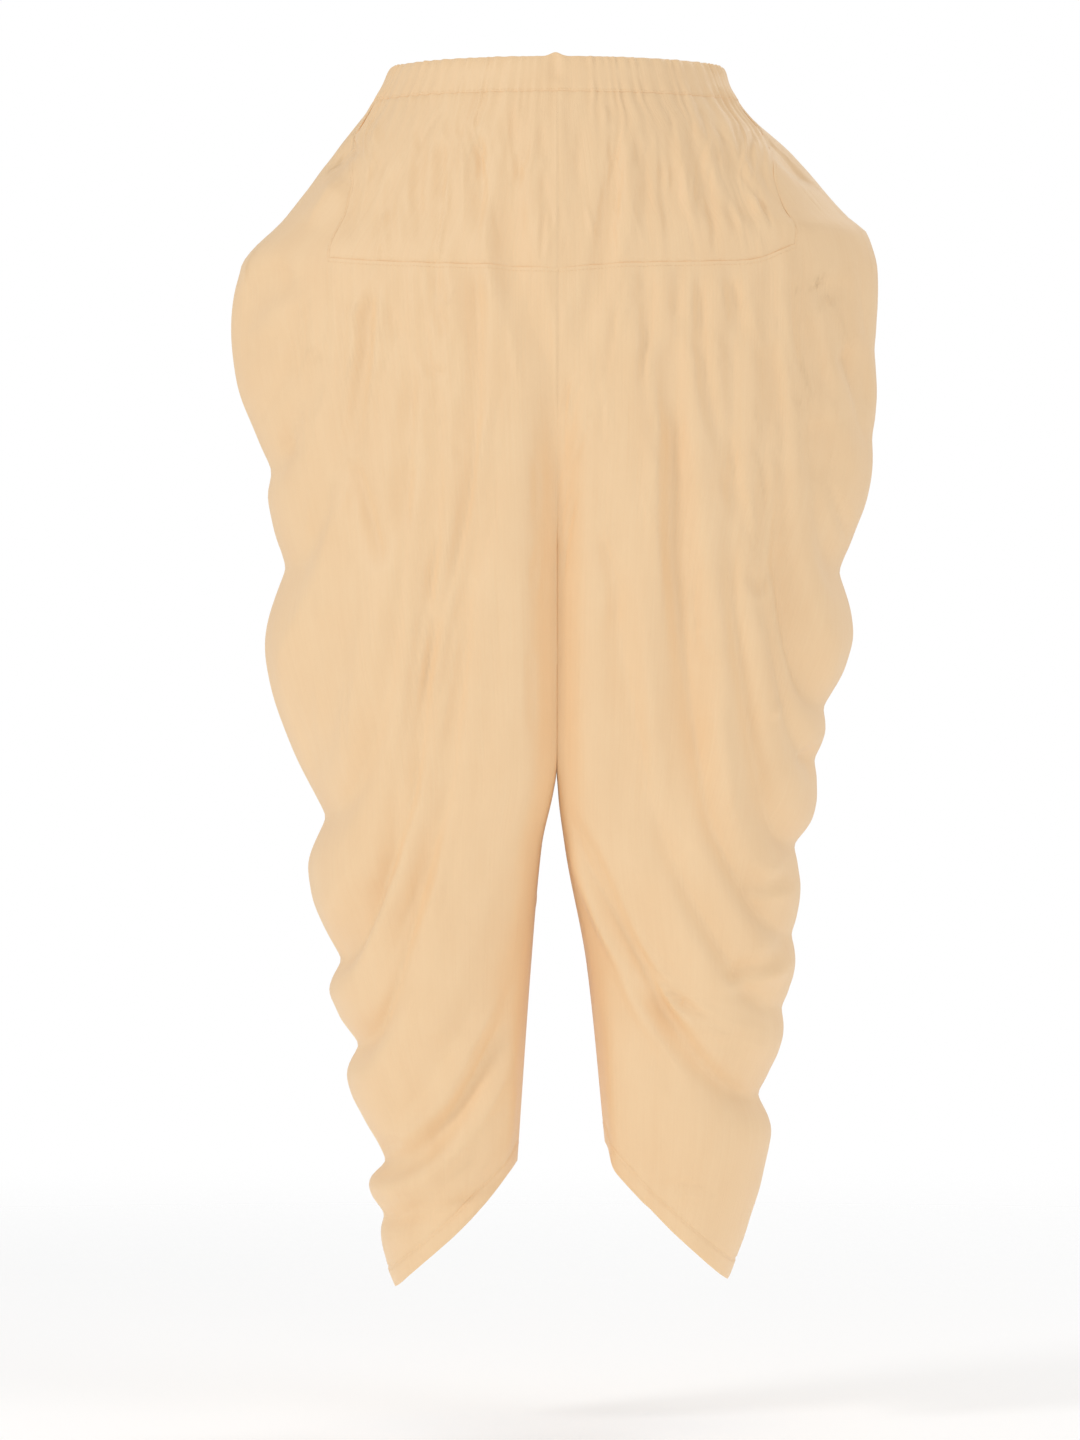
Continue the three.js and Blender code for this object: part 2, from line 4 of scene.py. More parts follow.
import bmesh
import bpy
import numpy as np
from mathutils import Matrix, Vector


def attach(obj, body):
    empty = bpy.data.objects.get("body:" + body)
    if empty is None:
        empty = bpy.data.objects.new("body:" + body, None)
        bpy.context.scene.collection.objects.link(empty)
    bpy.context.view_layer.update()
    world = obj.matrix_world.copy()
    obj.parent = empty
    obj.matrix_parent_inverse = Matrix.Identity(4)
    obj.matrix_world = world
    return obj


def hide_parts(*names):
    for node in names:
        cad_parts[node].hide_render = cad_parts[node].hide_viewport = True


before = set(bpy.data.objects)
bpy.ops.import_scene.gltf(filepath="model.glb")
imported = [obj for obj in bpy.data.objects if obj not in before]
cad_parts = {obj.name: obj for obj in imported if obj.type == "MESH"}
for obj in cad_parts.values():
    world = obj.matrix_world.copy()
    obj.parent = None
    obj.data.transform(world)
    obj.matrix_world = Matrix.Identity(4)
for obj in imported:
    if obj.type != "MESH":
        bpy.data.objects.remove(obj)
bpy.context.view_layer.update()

bl_info = {
    "name": "Draped Salwar",
    "version": (1, 0, 0),
    "blender": (4, 5, 0),
    "location": "View3D > Sidebar > Salwar",
    "description": "A draped salwar with a gathered casing, a yoke, cowl folds and slanting hems",
    "category": "Object",
}

# The form is worked out in millimetres and its points are set in metres.
# A place on the cloth is a station, from 0 on the outer side to 1 at the centre seam or the
# inseam, and a drop, how far it lies below the waist. front is true on the front half.
MM = 0.001
BODY = "root"

# Bands of doubled cloth
CASING_DEPTH = 28.0
HEM_BAND = 12.0

# Seams: how far a piece runs on under its neighbour and sinks there, and how an outer edge turns in
SEAM_LAP = 2.0
LAP_SINK = 0.55
LAP_START = 0.3
LAP_REACH = 0.5
EDGE_TURN = 0.2
EDGE_TURN_REACH = 1.3

# Drops of the yoke seam and the crotch, and a drop below every point of the hem
YOKE_DROP = 162.0
CROTCH_DROP = 380.0
LOWEST_DROP = 1000.0

# How round the body is under the cloth: 0.5 is an ellipse, and less is squarer. The side is that
# of the hips and a leg's outer half. The inner half changes from the crotch to below the knee.
SIDE_ROUNDNESS = 0.58
LEG_ROUNDNESS = 0.54
CROTCH_ROUNDNESS = 0.012
INNER_ROUNDNESS = 0.3
CROTCH_BLEND = (535.0, 760.0)

# Drops from which one round of the hips parts into two legs, and how much later it ends outside
FRONT_RISE_START = 250.0
BACK_RISE_START = 230.0
RISE_SPREAD = 220.0
RISE_POWER = 6

# The soft valley down the middle: its share of the depth, half width, reach and fading
VALLEY_SHARE = 0.14
VALLEY_WIDTH = 19.0
VALLEY_DROPS = (205.0, 690.0)
VALLEY_START = 130.0
VALLEY_END = 170.0

# How far the two legs press together between the crotch and the place where they part
PRESS = 2.6
PRESS_REACH = 12.0
PRESS_DROPS = (262.0, 578.0)
PRESS_FADE = 36.0

# On the back the fold lines start this much nearer the centre
BACK_SHIFT = 0.05

# Below the yoke seam its bends fade out over a drop, and folds die away before the centre
SEAM_BLEND = 150.0
SEAM_TURNS = 8
SEAM_FADE = 0.14

# Where a pleat is highest, as a share of its width
PLEAT_PEAK = 0.35

# The station and the drop over which the surface's direction is evened out
EVEN_STATION = 0.012
EVEN_DROP = 3.0

# A length or a share too small to see, and the station from which on a place is on the seam
TINY = 1e-6
AT_SEAM = 1 - 1e-9

# How far from the side line and from the centre a crease dies away, in stations
SIDE_FADE = 0.035
CENTRE_FADE = 0.03


def table(columns, *rows):
    """A short table as one array for each named column."""
    return dict(zip(columns.split(), np.array(rows, float).T))


# How deep the garment is before and behind its middle
DEPTHS = table(
    "drop front back",
    (0, 95, 95), (150, 124, 134), (300, 132, 140), (520, 108, 114), (720, 86, 92), (900, 58, 62),
)

# Each leg has one row for each fold, from the hip down. drop and out are the valley above the
# fold on the outer side, top is the station where that valley would meet the yoke seam, peak
# is where the fold is highest between its two valleys, crest is its height on the outer side
# and swell what it adds half way to the yoke. Pleats hang from the yoke seam. edge is the gore's
# edge beside the yoke. The hem slants from its corner inside to its tip outside, a little bowed.
RIGHT = SimpleNamespace(
    name="right",
    side=-1,
    outline=table("drop out", (0, 131), (28, 145), (71, 178), (119, 215)),
    folds=table(
        "drop out top peak crest swell",
        (162, 251, 0.0, 0.5, 15, 4),
        (321, 226, 0.2, 0.3, 7, 5),
        (398, 215, 0.335, 0.37, 29, 6),
        (596, 183, 0.53, 0.39, 20, 7),
        (710, 170, 0.62, 0.33, 15, 7),
        (777, 156, 0.75, 0.25, 18, 8),
        (870, 135, 1.5, 0.42, 15, 6),
        (912, 135, 3.0, 0.2, 6, 4),
        (969, 129, 12.0, 0.5, 0, 0),
    ),
    pleats=table(
        "top depth length",
        (0.286, 6, 190), (0.34, 5, 150), (0.42, 6, 210), (0.53, 6, 180),
        (0.63, 6, 220), (0.75, 6, 170), (0.845, 4, 130), (1.0, 0, 1),
    ),
    inseam=table("drop inside", (0, 0), (380, 0), (562, 1.6), (618, 12), (713, 20.5), (870, 31.5)),
    seam=table("station drop", (0.28, 157), (0.45, 161), (0.77, 165), (1, 168)),
    edge=table("drop station", (28, 0.02), (53, 0.035), (95, 0.18), (157, 0.286)),
    hem=SimpleNamespace(corner_out=31.7, corner_drop=869, tip_out=129, tip_drop=969, bow=5),
)
LEFT = SimpleNamespace(
    name="left",
    side=1,
    outline=table("drop out", (0, 131), (28, 143), (71, 188), (119, 231), (133, 247)),
    folds=table(
        "drop out top peak crest swell",
        (162, 254, 0.0, 0.5, 1, 2),
        (235, 252, 0.06, 0.5, 3, 2),
        (296, 250, 0.12, 0.45, 6, 4),
        (402, 224, 0.255, 0.47, 18, 5),
        (509, 211, 0.33, 0.45, 5, 5),
        (550, 204, 0.38, 0.6, 12, 6),
        (618, 188, 0.47, 0.5, 6, 8),
        (690, 186, 0.68, 0.4, 5, 8),
        (748, 178, 0.9, 0.35, 7, 7),
        (817, 159, 1.4, 0.2, 17, 5),
        (963, 136, 6.0, 0.5, 0, 0),
    ),
    pleats=table(
        "top depth length",
        (0.267, 6, 170), (0.355, 6, 200), (0.47, 6, 160), (0.575, 5, 210),
        (0.64, 5, 180), (0.735, 6, 200), (0.835, 4, 140), (1.0, 0, 1),
    ),
    inseam=table("drop inside", (0, 0), (380, 0), (570, 0.8), (618, 6), (713, 23.5), (854, 38)),
    seam=table("station drop", (0.26, 146), (0.42, 160), (0.82, 164), (1, 168)),
    edge=table("drop station", (28, 0.02), (47, 0.03), (95, 0.184), (146, 0.26)),
    hem=SimpleNamespace(corner_out=38, corner_drop=854, tip_out=136, tip_drop=963, bow=9),
)
LEGS = (RIGHT, LEFT)


def hump(share):
    """A rounded rise from 0 at both ends to 1 half way."""
    return 4 * share * (1 - share)


def trough(width, depth, *points):
    """A soft groove in the front along points (across, drop), with its half width and depth."""
    return SimpleNamespace(width=width, height=-depth, points=points)


def ridge(width, height, *points):
    """A soft raised fold in the front along points (across, drop)."""
    return SimpleNamespace(width=width, height=height, points=points)


# Creases of the yoke, the pinned pleats and the folds, as seen from the front
CREASES = [
    # Yoke
    trough(9, 3.0, (-35, 40), (-34, 105), (-35, 166)),
    trough(10, 1.6, (-93, 60), (-94, 110), (-93, 160)),
    trough(13, 2.0, (-62, 55), (-63, 110), (-61, 160)),
    trough(7, 1.4, (-108, 70), (-109, 112), (-108, 156)),
    trough(7, 1.5, (-128, 84), (-134, 118), (-136, 150)),
    trough(6, 2.0, (-12, 48), (-10, 90), (-14, 132)),
    trough(6, 1.8, (14, 44), (17, 84), (16, 120)),
    trough(5, 2.0, (49, 44), (44, 109), (29, 166)),
    ridge(5, 1.8, (53, 50), (52, 96), (46, 150)),
    trough(7, 2.2, (70, 60), (69, 104), (70, 148)),
    trough(7, 2.2, (88, 50), (90, 100), (90, 152)),
    trough(6, 2.0, (101, 48), (113, 96), (126, 143)),
    trough(6, 1.8, (126, 60), (139, 100), (150, 138)),
    # Right side gore and hip
    trough(9, 5, (-160, 58), (-172, 70), (-184, 84)),
    ridge(10, 3.6, (-170, 92), (-184, 114), (-197, 134)),
    trough(13, 4.6, (-208, 158), (-238, 185), (-253, 224)),
    trough(6, 2.4, (-199, 182), (-204, 226), (-214, 264)),
    trough(6, 3.2, (-185, 226), (-188, 256), (-192, 284)),
    ridge(5, 2.2, (-141, 158), (-146, 182), (-167, 218)),
    # Right leg, from the outer pleats to the centre
    trough(6, 4.6, (-146, 186), (-153, 272), (-160, 338)),
    ridge(6, 2.4, (-152, 205), (-162, 262), (-171, 318)),
    trough(9, 5.6, (-160, 312), (-145, 364), (-135, 408)),
    trough(6, 3.2, (-115, 312), (-121, 352), (-130, 392)),
    trough(4, 1.8, (-131, 194), (-126, 210), (-120, 228)),
    trough(5, 3.0, (-96, 150), (-95, 199), (-82, 232)),
    trough(4, 2.6, (-106, 224), (-98, 249), (-83, 247)),
    trough(6, 2.4, (-107, 199), (-108, 238), (-114, 300)),
    trough(10, 4.2, (-96, 300), (-112, 483), (-136, 655)),
    trough(7, 4.2, (-61, 160), (-66, 260), (-69, 340)),
    trough(14, 4.2, (-67, 317), (-81, 459), (-108, 618)),
    ridge(4, 1.4, (-78, 408), (-88, 459), (-93, 498)),
    trough(14, 3.8, (-170, 430), (-185, 531), (-180, 578)),
    trough(5, 2.4, (-216, 294), (-205, 306), (-198, 311)),
    ridge(12, 3.2, (-120, 380), (-145, 495), (-174, 622)),
    ridge(10, 2.6, (-59, 380), (-67, 483), (-89, 644)),
    trough(5, 1.6, (-83, 300), (-77, 308), (-72, 318)),
    # Right leg below the knee
    trough(9, 4.0, (-137, 640), (-157, 685), (-171, 718)),
    ridge(8, 3.2, (-123, 626), (-136, 676), (-170, 727)),
    ridge(8, 3.8, (-88, 626), (-105, 688), (-122, 733), (-153, 776)),
    trough(7, 3.4, (-93, 650), (-111, 702), (-130, 748), (-158, 790)),
    ridge(7, 3.6, (-42, 725), (-64, 765), (-87, 813), (-138, 872)),
    trough(7, 3.2, (-38, 748), (-67, 813), (-87, 845), (-120, 876)),
    ridge(6, 3.0, (-44, 782), (-67, 824), (-92, 867), (-140, 905)),
    trough(6, 3.0, (-60, 850), (-77, 874), (-107, 902), (-138, 918)),
    trough(14, 3.2, (-92, 758), (-109, 815), (-120, 850)),
    # Left side gore and hip
    trough(9, 5.0, (167, 48), (186, 72), (207, 95)),
    trough(4, 1.8, (169, 70), (188, 84), (209, 96)),
    trough(11, 3.6, (206, 172), (211, 182), (217, 193)),
    trough(10, 5.2, (226, 222), (240, 250), (254, 278)),
    trough(7, 5.0, (186, 168), (196, 235), (217, 272)),
    trough(12, 3.6, (203, 280), (206, 308), (209, 338)),
    # Left leg, from the centre to the outer pleats
    trough(5, 3.6, (110, 158), (114, 260), (136, 340)),
    trough(7, 4.6, (90, 212), (90, 284), (94, 338)),
    trough(14, 4.6, (92, 317), (98, 459), (104, 554), (96, 655)),
    trough(5, 2.2, (98, 160), (96, 184), (91, 210)),
    trough(5, 2.4, (134, 170), (140, 200), (147, 230)),
    trough(6, 3.6, (161, 224), (168, 262), (165, 292)),
    trough(4, 1.6, (70, 280), (75, 303), (81, 325)),
    trough(7, 3.0, (66, 158), (69, 198), (73, 240)),
    trough(5, 2.4, (30, 370), (49, 412), (43, 460)),
    trough(5, 3.0, (128, 320), (144, 364), (146, 404)),
    trough(5, 3.0, (145, 398), (156, 420), (170, 384)),
    trough(12, 4.2, (172, 336), (180, 436), (195, 536)),
    trough(11, 3.0, (192, 540), (200, 552), (207, 562)),
    ridge(4, 1.8, (149, 516), (163, 512), (178, 508)),
    ridge(6, 1.8, (110, 448), (117, 464), (126, 478)),
    ridge(10, 3.0, (119, 500), (128, 566), (138, 630)),
    trough(6, 3.2, (140, 632), (161, 651), (187, 636)),
    trough(6, 3.2, (132, 712), (159, 708), (190, 686)),
    ridge(12, 3.2, (66, 380), (70, 483), (78, 632)),
    ridge(14, 3.0, (83, 622), (97, 676), (130, 730)),
    # Left leg below the knee
    trough(7, 5.0, (14, 592), (37, 650), (66, 714), (91, 759), (122, 804), (144, 824), (172, 832)),
    ridge(7, 4.2, (30, 618), (47, 680), (72, 720), (101, 750), (131, 771), (182, 775)),
    trough(6, 3.6, (90, 730), (114, 762), (154, 777)),
    ridge(8, 3.6, (17, 618), (37, 680), (64, 745), (88, 790)),
    trough(4, 2.0, (76, 881), (101, 882), (124, 886)),
    # Centre: the two arms that meet above the crotch
    trough(11, 4.6, (-42, 103), (-36, 150), (-29, 189), (-14, 222), (-2, 257)),
    trough(7, 4.2, (50, 79), (43, 121), (35, 169), (21, 216), (10, 247)),
    ridge(8, 1.8, (64, 71), (58, 123), (47, 174)),
    ridge(10, 2.2, (-58, 111), (-53, 166), (-42, 214)),
    # Crisp lines of the yoke
    trough(4, 2.2, (104, 42), (116, 103), (128, 158)),
    trough(4, 2.0, (130, 63), (151, 121), (164, 150)),
    trough(3.5, 1.8, (116, 36), (140, 79), (164, 123)),
    ridge(4, 1.6, (91, 48), (101, 111), (109, 154)),
    trough(4, 2.0, (77, 55), (83, 111), (88, 154)),
    trough(4, 2.0, (-107, 48), (-109, 95), (-108, 150)),
    trough(5, 1.8, (-161, 87), (-163, 123), (-161, 150)),
    trough(4, 2.0, (-62, 55), (-59, 111), (-64, 154)),
    ridge(5, 1.8, (-74, 55), (-72, 111), (-75, 154)),
    trough(4, 1.8, (-89, 63), (-92, 119)),
    # Crisp lines under the yoke seam
    trough(3, 1.6, (78, 169), (69, 222), (63, 279)),
    trough(4, 2.0, (-145, 170), (-151, 237), (-160, 289)),
    trough(4, 2.8, (-107, 166), (-103, 222), (-102, 247), (-97, 257)),
    trough(4, 2.4, (-78, 214), (-81, 279)),
    trough(5, 3.0, (-191, 230), (-194, 285)),
    ridge(4, 2.2, (-134, 174), (-140, 238), (-147, 293)),
    ridge(4, 2.2, (-92, 182), (-93, 230)),
    trough(9, 3.0, (-248, 187), (-226, 176), (-205, 165)),
    trough(8, 2.4, (-249, 230), (-224, 220), (-204, 214)),
    # Long folds over the thighs
    trough(9, 4.6, (90, 257), (93, 322), (91, 375), (104, 428), (114, 469), (109, 558)),
    ridge(7, 2.8, (75, 269), (77, 348), (82, 428), (91, 507)),
    trough(3.5, 2.4, (130, 280), (140, 333), (156, 401)),
    trough(8, 4.4, (172, 375), (182, 428), (196, 491), (205, 511)),
    ridge(8, 2.6, (152, 428), (164, 491), (172, 539)),
    trough(4, 2.6, (209, 327), (230, 380)),
    trough(4, 3.2, (-65, 269), (-65, 333), (-81, 401), (-102, 480), (-118, 564)),
    trough(3, 1.8, (-91, 364), (-107, 454), (-120, 554)),
    ridge(5, 2.4, (-73, 428), (-97, 564)),
    trough(4, 2.8, (-157, 311), (-144, 364), (-133, 406)),
    trough(12, 3.6, (-154, 348), (-170, 454), (-181, 564)),
    ridge(7, 2.4, (-169, 325), (-183, 428)),
    ridge(7, 2.8, (-53, 269), (-63, 348), (-70, 401)),
    # Crisp folds that sweep out below the crotch
    trough(3.5, 3.2, (6, 580), (22, 626), (51, 684), (85, 731), (127, 764), (177, 775)),
    ridge(5, 3.0, (3, 604), (29, 665), (63, 721), (98, 754), (135, 775)),
    trough(3.5, 3.4, (10, 580), (36, 638), (69, 714), (94, 762), (127, 808), (162, 829)),
    ridge(6, 3.2, (22, 640), (54, 712), (82, 770), (114, 818)),
    trough(5, 3.4, (139, 647), (158, 648), (177, 642)),
    trough(4, 2.8, (131, 716), (161, 710), (181, 697)),
    ridge(5, 2.2, (116, 725), (156, 725), (184, 711)),
    trough(5, 3.4, (-123, 554), (-129, 638), (-154, 706), (-167, 722)),
    ridge(6, 3.0, (-83, 580), (-96, 651), (-120, 722), (-150, 760)),
    trough(9, 3.2, (-101, 586), (-109, 649), (-133, 717)),
    ridge(5, 1.8, (-42, 733), (-58, 776), (-87, 823), (-116, 848)),
    trough(3, 2.0, (-45, 760), (-70, 815), (-100, 861), (-116, 881)),
    ridge(5, 2.4, (-42, 792), (-66, 840), (-101, 883)),
    trough(3.5, 2.2, (-137, 857), (-116, 848)),
    trough(3.5, 2.2, (-133, 881), (-100, 865)),
    trough(3.5, 2.2, (-137, 899), (-104, 890)),
]

# Fine wrinkles that fall from the casing and from the yoke seam: where they may start, how many,
# their lengths, how they lean and bow, and their half widths and heights
WRINKLE_FIELDS = (
    SimpleNamespace(across=(-150, 160), drops=(32, 120), count=110, lengths=(14, 60)),
    SimpleNamespace(across=(-215, 225), drops=(160, 290), count=90, lengths=(18, 75)),
    SimpleNamespace(across=(-190, 200), drops=(290, 480), count=34, lengths=(30, 90)),
)
WRINKLE_SEED = 23
WRINKLE_LEAN = 0.16
WRINKLE_SPREAD = 900
WRINKLE_BOW = 0.06
WRINKLE_PLACES = (0, 0.35, 0.7, 1)
WRINKLE_WIDTHS = (1.6, 3.8)
WRINKLE_HEIGHTS = (0.35, 1.3)


def wrinkles():
    """Fine seeded wrinkles, raised and sunk, that run down and a little outwards."""
    chance = np.random.RandomState(WRINKLE_SEED)
    found = []
    for field in WRINKLE_FIELDS:
        for _ in range(field.count):
            across, drop = chance.uniform(*field.across), chance.uniform(*field.drops)
            length, lean = chance.uniform(*field.lengths), chance.normal(0, WRINKLE_LEAN)
            lean += across / WRINKLE_SPREAD
            bow = chance.uniform(-WRINKLE_BOW, WRINKLE_BOW) * length
            height = chance.uniform(*WRINKLE_HEIGHTS) * chance.choice((-1, 1))
            points = [
                (across + lean * length * share + bow * hump(share), drop + length * share)
                for share in WRINKLE_PLACES
            ]
            found.append(SimpleNamespace(
                width=chance.uniform(*WRINKLE_WIDTHS), height=height, points=points,
            ))
    return found


CREASES += wrinkles()

# The back's creases are the front's, turned to the other leg. They stand lower and softer, and
# those under the yoke start further down.
BACK_DROP_SHIFT = 17.0
BACK_CREASE_SHARE = 0.8
BACK_CREASE_WIDTH = 1.1
BACK_CREASES = [
    SimpleNamespace(
        width=crease.width * BACK_CREASE_WIDTH,
        height=crease.height * BACK_CREASE_SHARE,
        points=[
            (-across, drop + BACK_DROP_SHIFT * (crease.points[0][1] > YOKE_DROP))
            for across, drop in crease.points
        ],
    )
    for crease in CREASES
]


def mix(start, end, share):
    """The value at a share of the way from start to end."""
    return start + (end - start) * share


def ease(value):
    """A soft step from 0 to 1."""
    share = np.clip(value, 0, 1)
    return share * share * (3 - 2 * share)


def within(value, first, last, start, end):
    """1 between first and last, with a soft step of its own length inside each."""
    return ease((value - first) / start) * ease((last - value) / end)


def lengths_along(points):
    """The length of a line of points up to each of them."""
    return np.concatenate([[0], np.cumsum(np.linalg.norm(np.diff(points, axis=0), axis=1))])


def edge_turn(inside):
    """How far the turned edge of an outer piece sinks, at a distance inside its edge."""
    return EDGE_TURN * np.exp(-np.maximum(inside, 0) / EDGE_TURN_REACH)


def lap_sink(inside):
    """How far a piece sinks where it runs on under its neighbour, past its own seam line."""
    return LAP_SINK * ease((LAP_START - inside) / LAP_REACH)


# Rows close to an edge, as distances from it
EDGE_ROWS = (0.0, 0.9, 1.8, 3.0)


def spread_rows(top, bottom, count, at_top=True, at_bottom=True):
    """Drops of rows from top to bottom, closer at the edges, one row for each step down."""
    near = np.array(EDGE_ROWS)[:, None]
    first = top + near[:-1] if at_top else np.zeros((0, np.size(top)))
    last = bottom - near[:-1][::-1] if at_bottom else np.zeros((0, np.size(bottom)))
    start = top + (EDGE_ROWS[-1] if at_top else 0)
    end = bottom - (EDGE_ROWS[-1] if at_bottom else 0)
    middle = mix(start, end, np.linspace(0, 1, count - len(first) - len(last) + 1)[:, None])
    return np.concatenate([first, middle, last])


def smooth(across, values, at):
    """A smooth curve through a table's columns, which never swings past its rows."""
    slopes = np.diff(values) / np.diff(across)
    before, after = slopes[:-1], slopes[1:]
    together = np.where(before + after == 0, 1, before + after)
    inner = np.where(before * after > 0, 2 * before * after / together, 0)
    tangents = np.concatenate([slopes[:1], inner, slopes[-1:]])
    at = np.clip(at, across[0], across[-1])
    row = np.clip(np.searchsorted(across, at, side="right") - 1, 0, len(across) - 2)
    step = across[row + 1] - across[row]
    t = (at - across[row]) / step
    rest = 1 - t
    return (
        rest ** 2 * (1 + 2 * t) * values[row]
        + t ** 2 * (3 - 2 * t) * values[row + 1]
        + step * t * rest * (rest * tangents[row] - t * tangents[row + 1])
    )


def solve(low, high, passed, turns=30):
    """The values in [low, high] at which passed turns from false to true, for whole arrays."""
    for _ in range(turns):
        middle = (low + high) / 2
        past = passed(middle)
        low, high = np.where(past, low, middle), np.where(past, middle, high)
    return (low + high) / 2


def outer_reach(leg, drop):
    """The distance from the middle to the valleys of the outer side."""
    drops = np.concatenate([leg.outline["drop"], leg.folds["drop"]])
    outs = np.concatenate([leg.outline["out"], leg.folds["out"]])
    return smooth(drops, outs, drop)


def inner_reach(leg, drop):
    """The distance from the middle to the leg's inner side."""
    return smooth(leg.inseam["drop"], leg.inseam["inside"], drop)


def seam_drop(leg, station):
    """The drop of the yoke seam at a station."""
    return smooth(leg.seam["station"], leg.seam["drop"], station)


def fold_row(leg, column, line):
    """A column's value on a fold line, where line counts the rows and parts of a row."""
    return np.interp(line, np.arange(len(leg.folds[column])), leg.folds[column])


def body(leg, front, station, drop):
    """Points of the plain body surface, before folds, pleats and gathers."""
    front, station, drop = np.broadcast_arrays(front, station, drop)
    start = np.where(front, FRONT_RISE_START, BACK_RISE_START)
    end = CROTCH_DROP + RISE_SPREAD * (1 - station)
    rise = np.clip((drop - start) / (end - start), 0, 1)
    rise = mix(ease(rise), 1 - np.sqrt(1 - rise ** 2), station ** RISE_POWER)
    squareness = ease((drop - CROTCH_BLEND[0]) / np.ptp(CROTCH_BLEND))
    inner = mix(CROTCH_ROUNDNESS, INNER_ROUNDNESS, squareness)
    fore = smooth(DEPTHS["drop"], DEPTHS["front"], drop)
    depth = np.where(front, -fore, smooth(DEPTHS["drop"], DEPTHS["back"], drop))
    hip = np.maximum(0, 1 - (1 - station) ** 2) ** SIDE_ROUNDNESS
    roundness = np.where(station > 0.5, inner, LEG_ROUNDNESS)
    lobe = np.maximum(0, 1 - (1 - 2 * station) ** 2) ** roundness
    out = mix(outer_reach(leg, drop), inner_reach(leg, drop), station)
    across = leg.side * pressed(out, drop)
    depth = depth * mix(hip, lobe, rise) * (1 - centre_valley(across, drop))
    return np.stack([across, depth, -drop], axis=-1)


def centre_valley(across, drop):
    """The share by which the cloth falls back in the soft valley between the legs."""
    reach = within(drop, *VALLEY_DROPS, VALLEY_START, VALLEY_END)
    return VALLEY_SHARE * reach * np.exp(-(across / VALLEY_WIDTH) ** 2)


def pressed(out, drop):
    """The distance from the centre of cloth that presses against the other leg's."""
    reach = within(drop, *PRESS_DROPS, PRESS_FADE, PRESS_FADE)
    return np.maximum(out - PRESS * reach * np.exp(-out / PRESS_REACH), 0)


def body_normal(leg, front, station, drop):
    """Outward directions of the plain body surface, evened out near the side and the seams."""
    middle = np.minimum(station, 1 - EVEN_STATION)
    before = middle - EVEN_STATION
    along = body(leg, front, middle + EVEN_STATION, drop)
    along = along - body(leg, front ^ (before < 0), np.abs(before), drop)
    down = body(leg, front, middle, drop + EVEN_DROP) - body(leg, front, middle, drop - EVEN_DROP)
    normal = np.cross(down, along)
    normal[..., 0] *= ease((1 - station) / CENTRE_FADE)
    normal /= np.linalg.norm(normal, axis=-1, keepdims=True)
    return normal * (leg.side * np.where(front, -1, 1))[..., None]


def line_top(leg, front, line):
    """The station where a fold line meets the yoke seam."""
    top = fold_row(leg, "top", line)
    shift = np.where(front, 0, BACK_SHIFT)
    return np.where(top < 1, top + shift * hump(top), top)


def fall_below_seam(leg, station, drop):
    """How far a place lies below the yoke seam, whose own bends fade out in the cloth below."""
    lift = seam_drop(leg, station) - YOKE_DROP
    fall = np.maximum(drop - YOKE_DROP, 0)
    for _ in range(SEAM_TURNS):
        fall = np.maximum(drop - YOKE_DROP - lift * (1 - ease(fall / SEAM_BLEND)), 0)
    return fall


def fold_place(leg, front, station, drop):
    """The fold line through a place, the place's share along it, and its fall from the seam."""
    fall = fall_below_seam(leg, station, drop)

    def passed(line):
        reach = np.maximum(fold_row(leg, "drop", line) - YOKE_DROP, TINY)
        top = np.maximum(line_top(leg, front, line), TINY)
        return (station / top) ** 2 + (fall / reach) ** 2 < 1

    last = len(leg.folds["drop"]) - 1
    line = solve(np.zeros_like(fall), np.full_like(fall, last), passed)
    lean = np.clip(station / np.maximum(line_top(leg, front, line), TINY), 0, 1)
    return line, 2 / math.pi * np.arcsin(np.sqrt(lean)), fall


def between_valleys(share, peak):
    """A rounded ridge between two valleys."""
    turn = np.where(share < peak, share / peak, 1 - (share - peak) / (1 - peak))
    return np.sin(math.pi / 2 * np.clip(turn, 0, 1))


def fold_height(leg, line, share):
    """The height of the cowl folds at a fold line and a share along it."""
    row = np.clip(np.floor(line).astype(int), 0, len(leg.folds["drop"]) - 2)
    size = leg.folds["crest"][row] * (1 - share) ** 2
    size = size + leg.folds["swell"][row] * hump(share)
    return size * between_valleys(line - row, leg.folds["peak"][row])


def pleat_height(leg, line, fall):
    """The height of the pleats at a fold line and a fall below the yoke seam."""
    top = fold_row(leg, "top", line)
    tops = leg.pleats["top"]
    row = np.searchsorted(tops, top, side="right") - 1
    inside = (row >= 0) & (row < len(tops) - 1)
    row = np.clip(row, 0, len(tops) - 2)
    share = (top - tops[row]) / (tops[row + 1] - tops[row])
    height = leg.pleats["depth"][row] * between_valleys(share, PLEAT_PEAK)
    return np.where(inside, height * (1 - ease(fall / leg.pleats["length"][row])), 0)


# The share of the table's height that pleats have, the share of it that the yoke seam leaves
# them, and how far below the seam they are whole
PLEAT_SHARE = 0.55
SEAM_HOLD = 0.25
SEAM_HOLD_REACH = 16.0

# Small uneven waves that run along the folds: how many, the height of all together, the fall
# over which they rise, and for each one how often it repeats, slants and swells
RIPPLES = 7
RIPPLE_SEED = 5
RIPPLE_HEIGHT = 1.1
RIPPLE_FALL = 60.0
RIPPLE_COUNTS = (1.2, 4.5)
RIPPLE_SLANTS = (-1.2, 1.2)
RIPPLE_SWELLS = (0.5, 1.4)


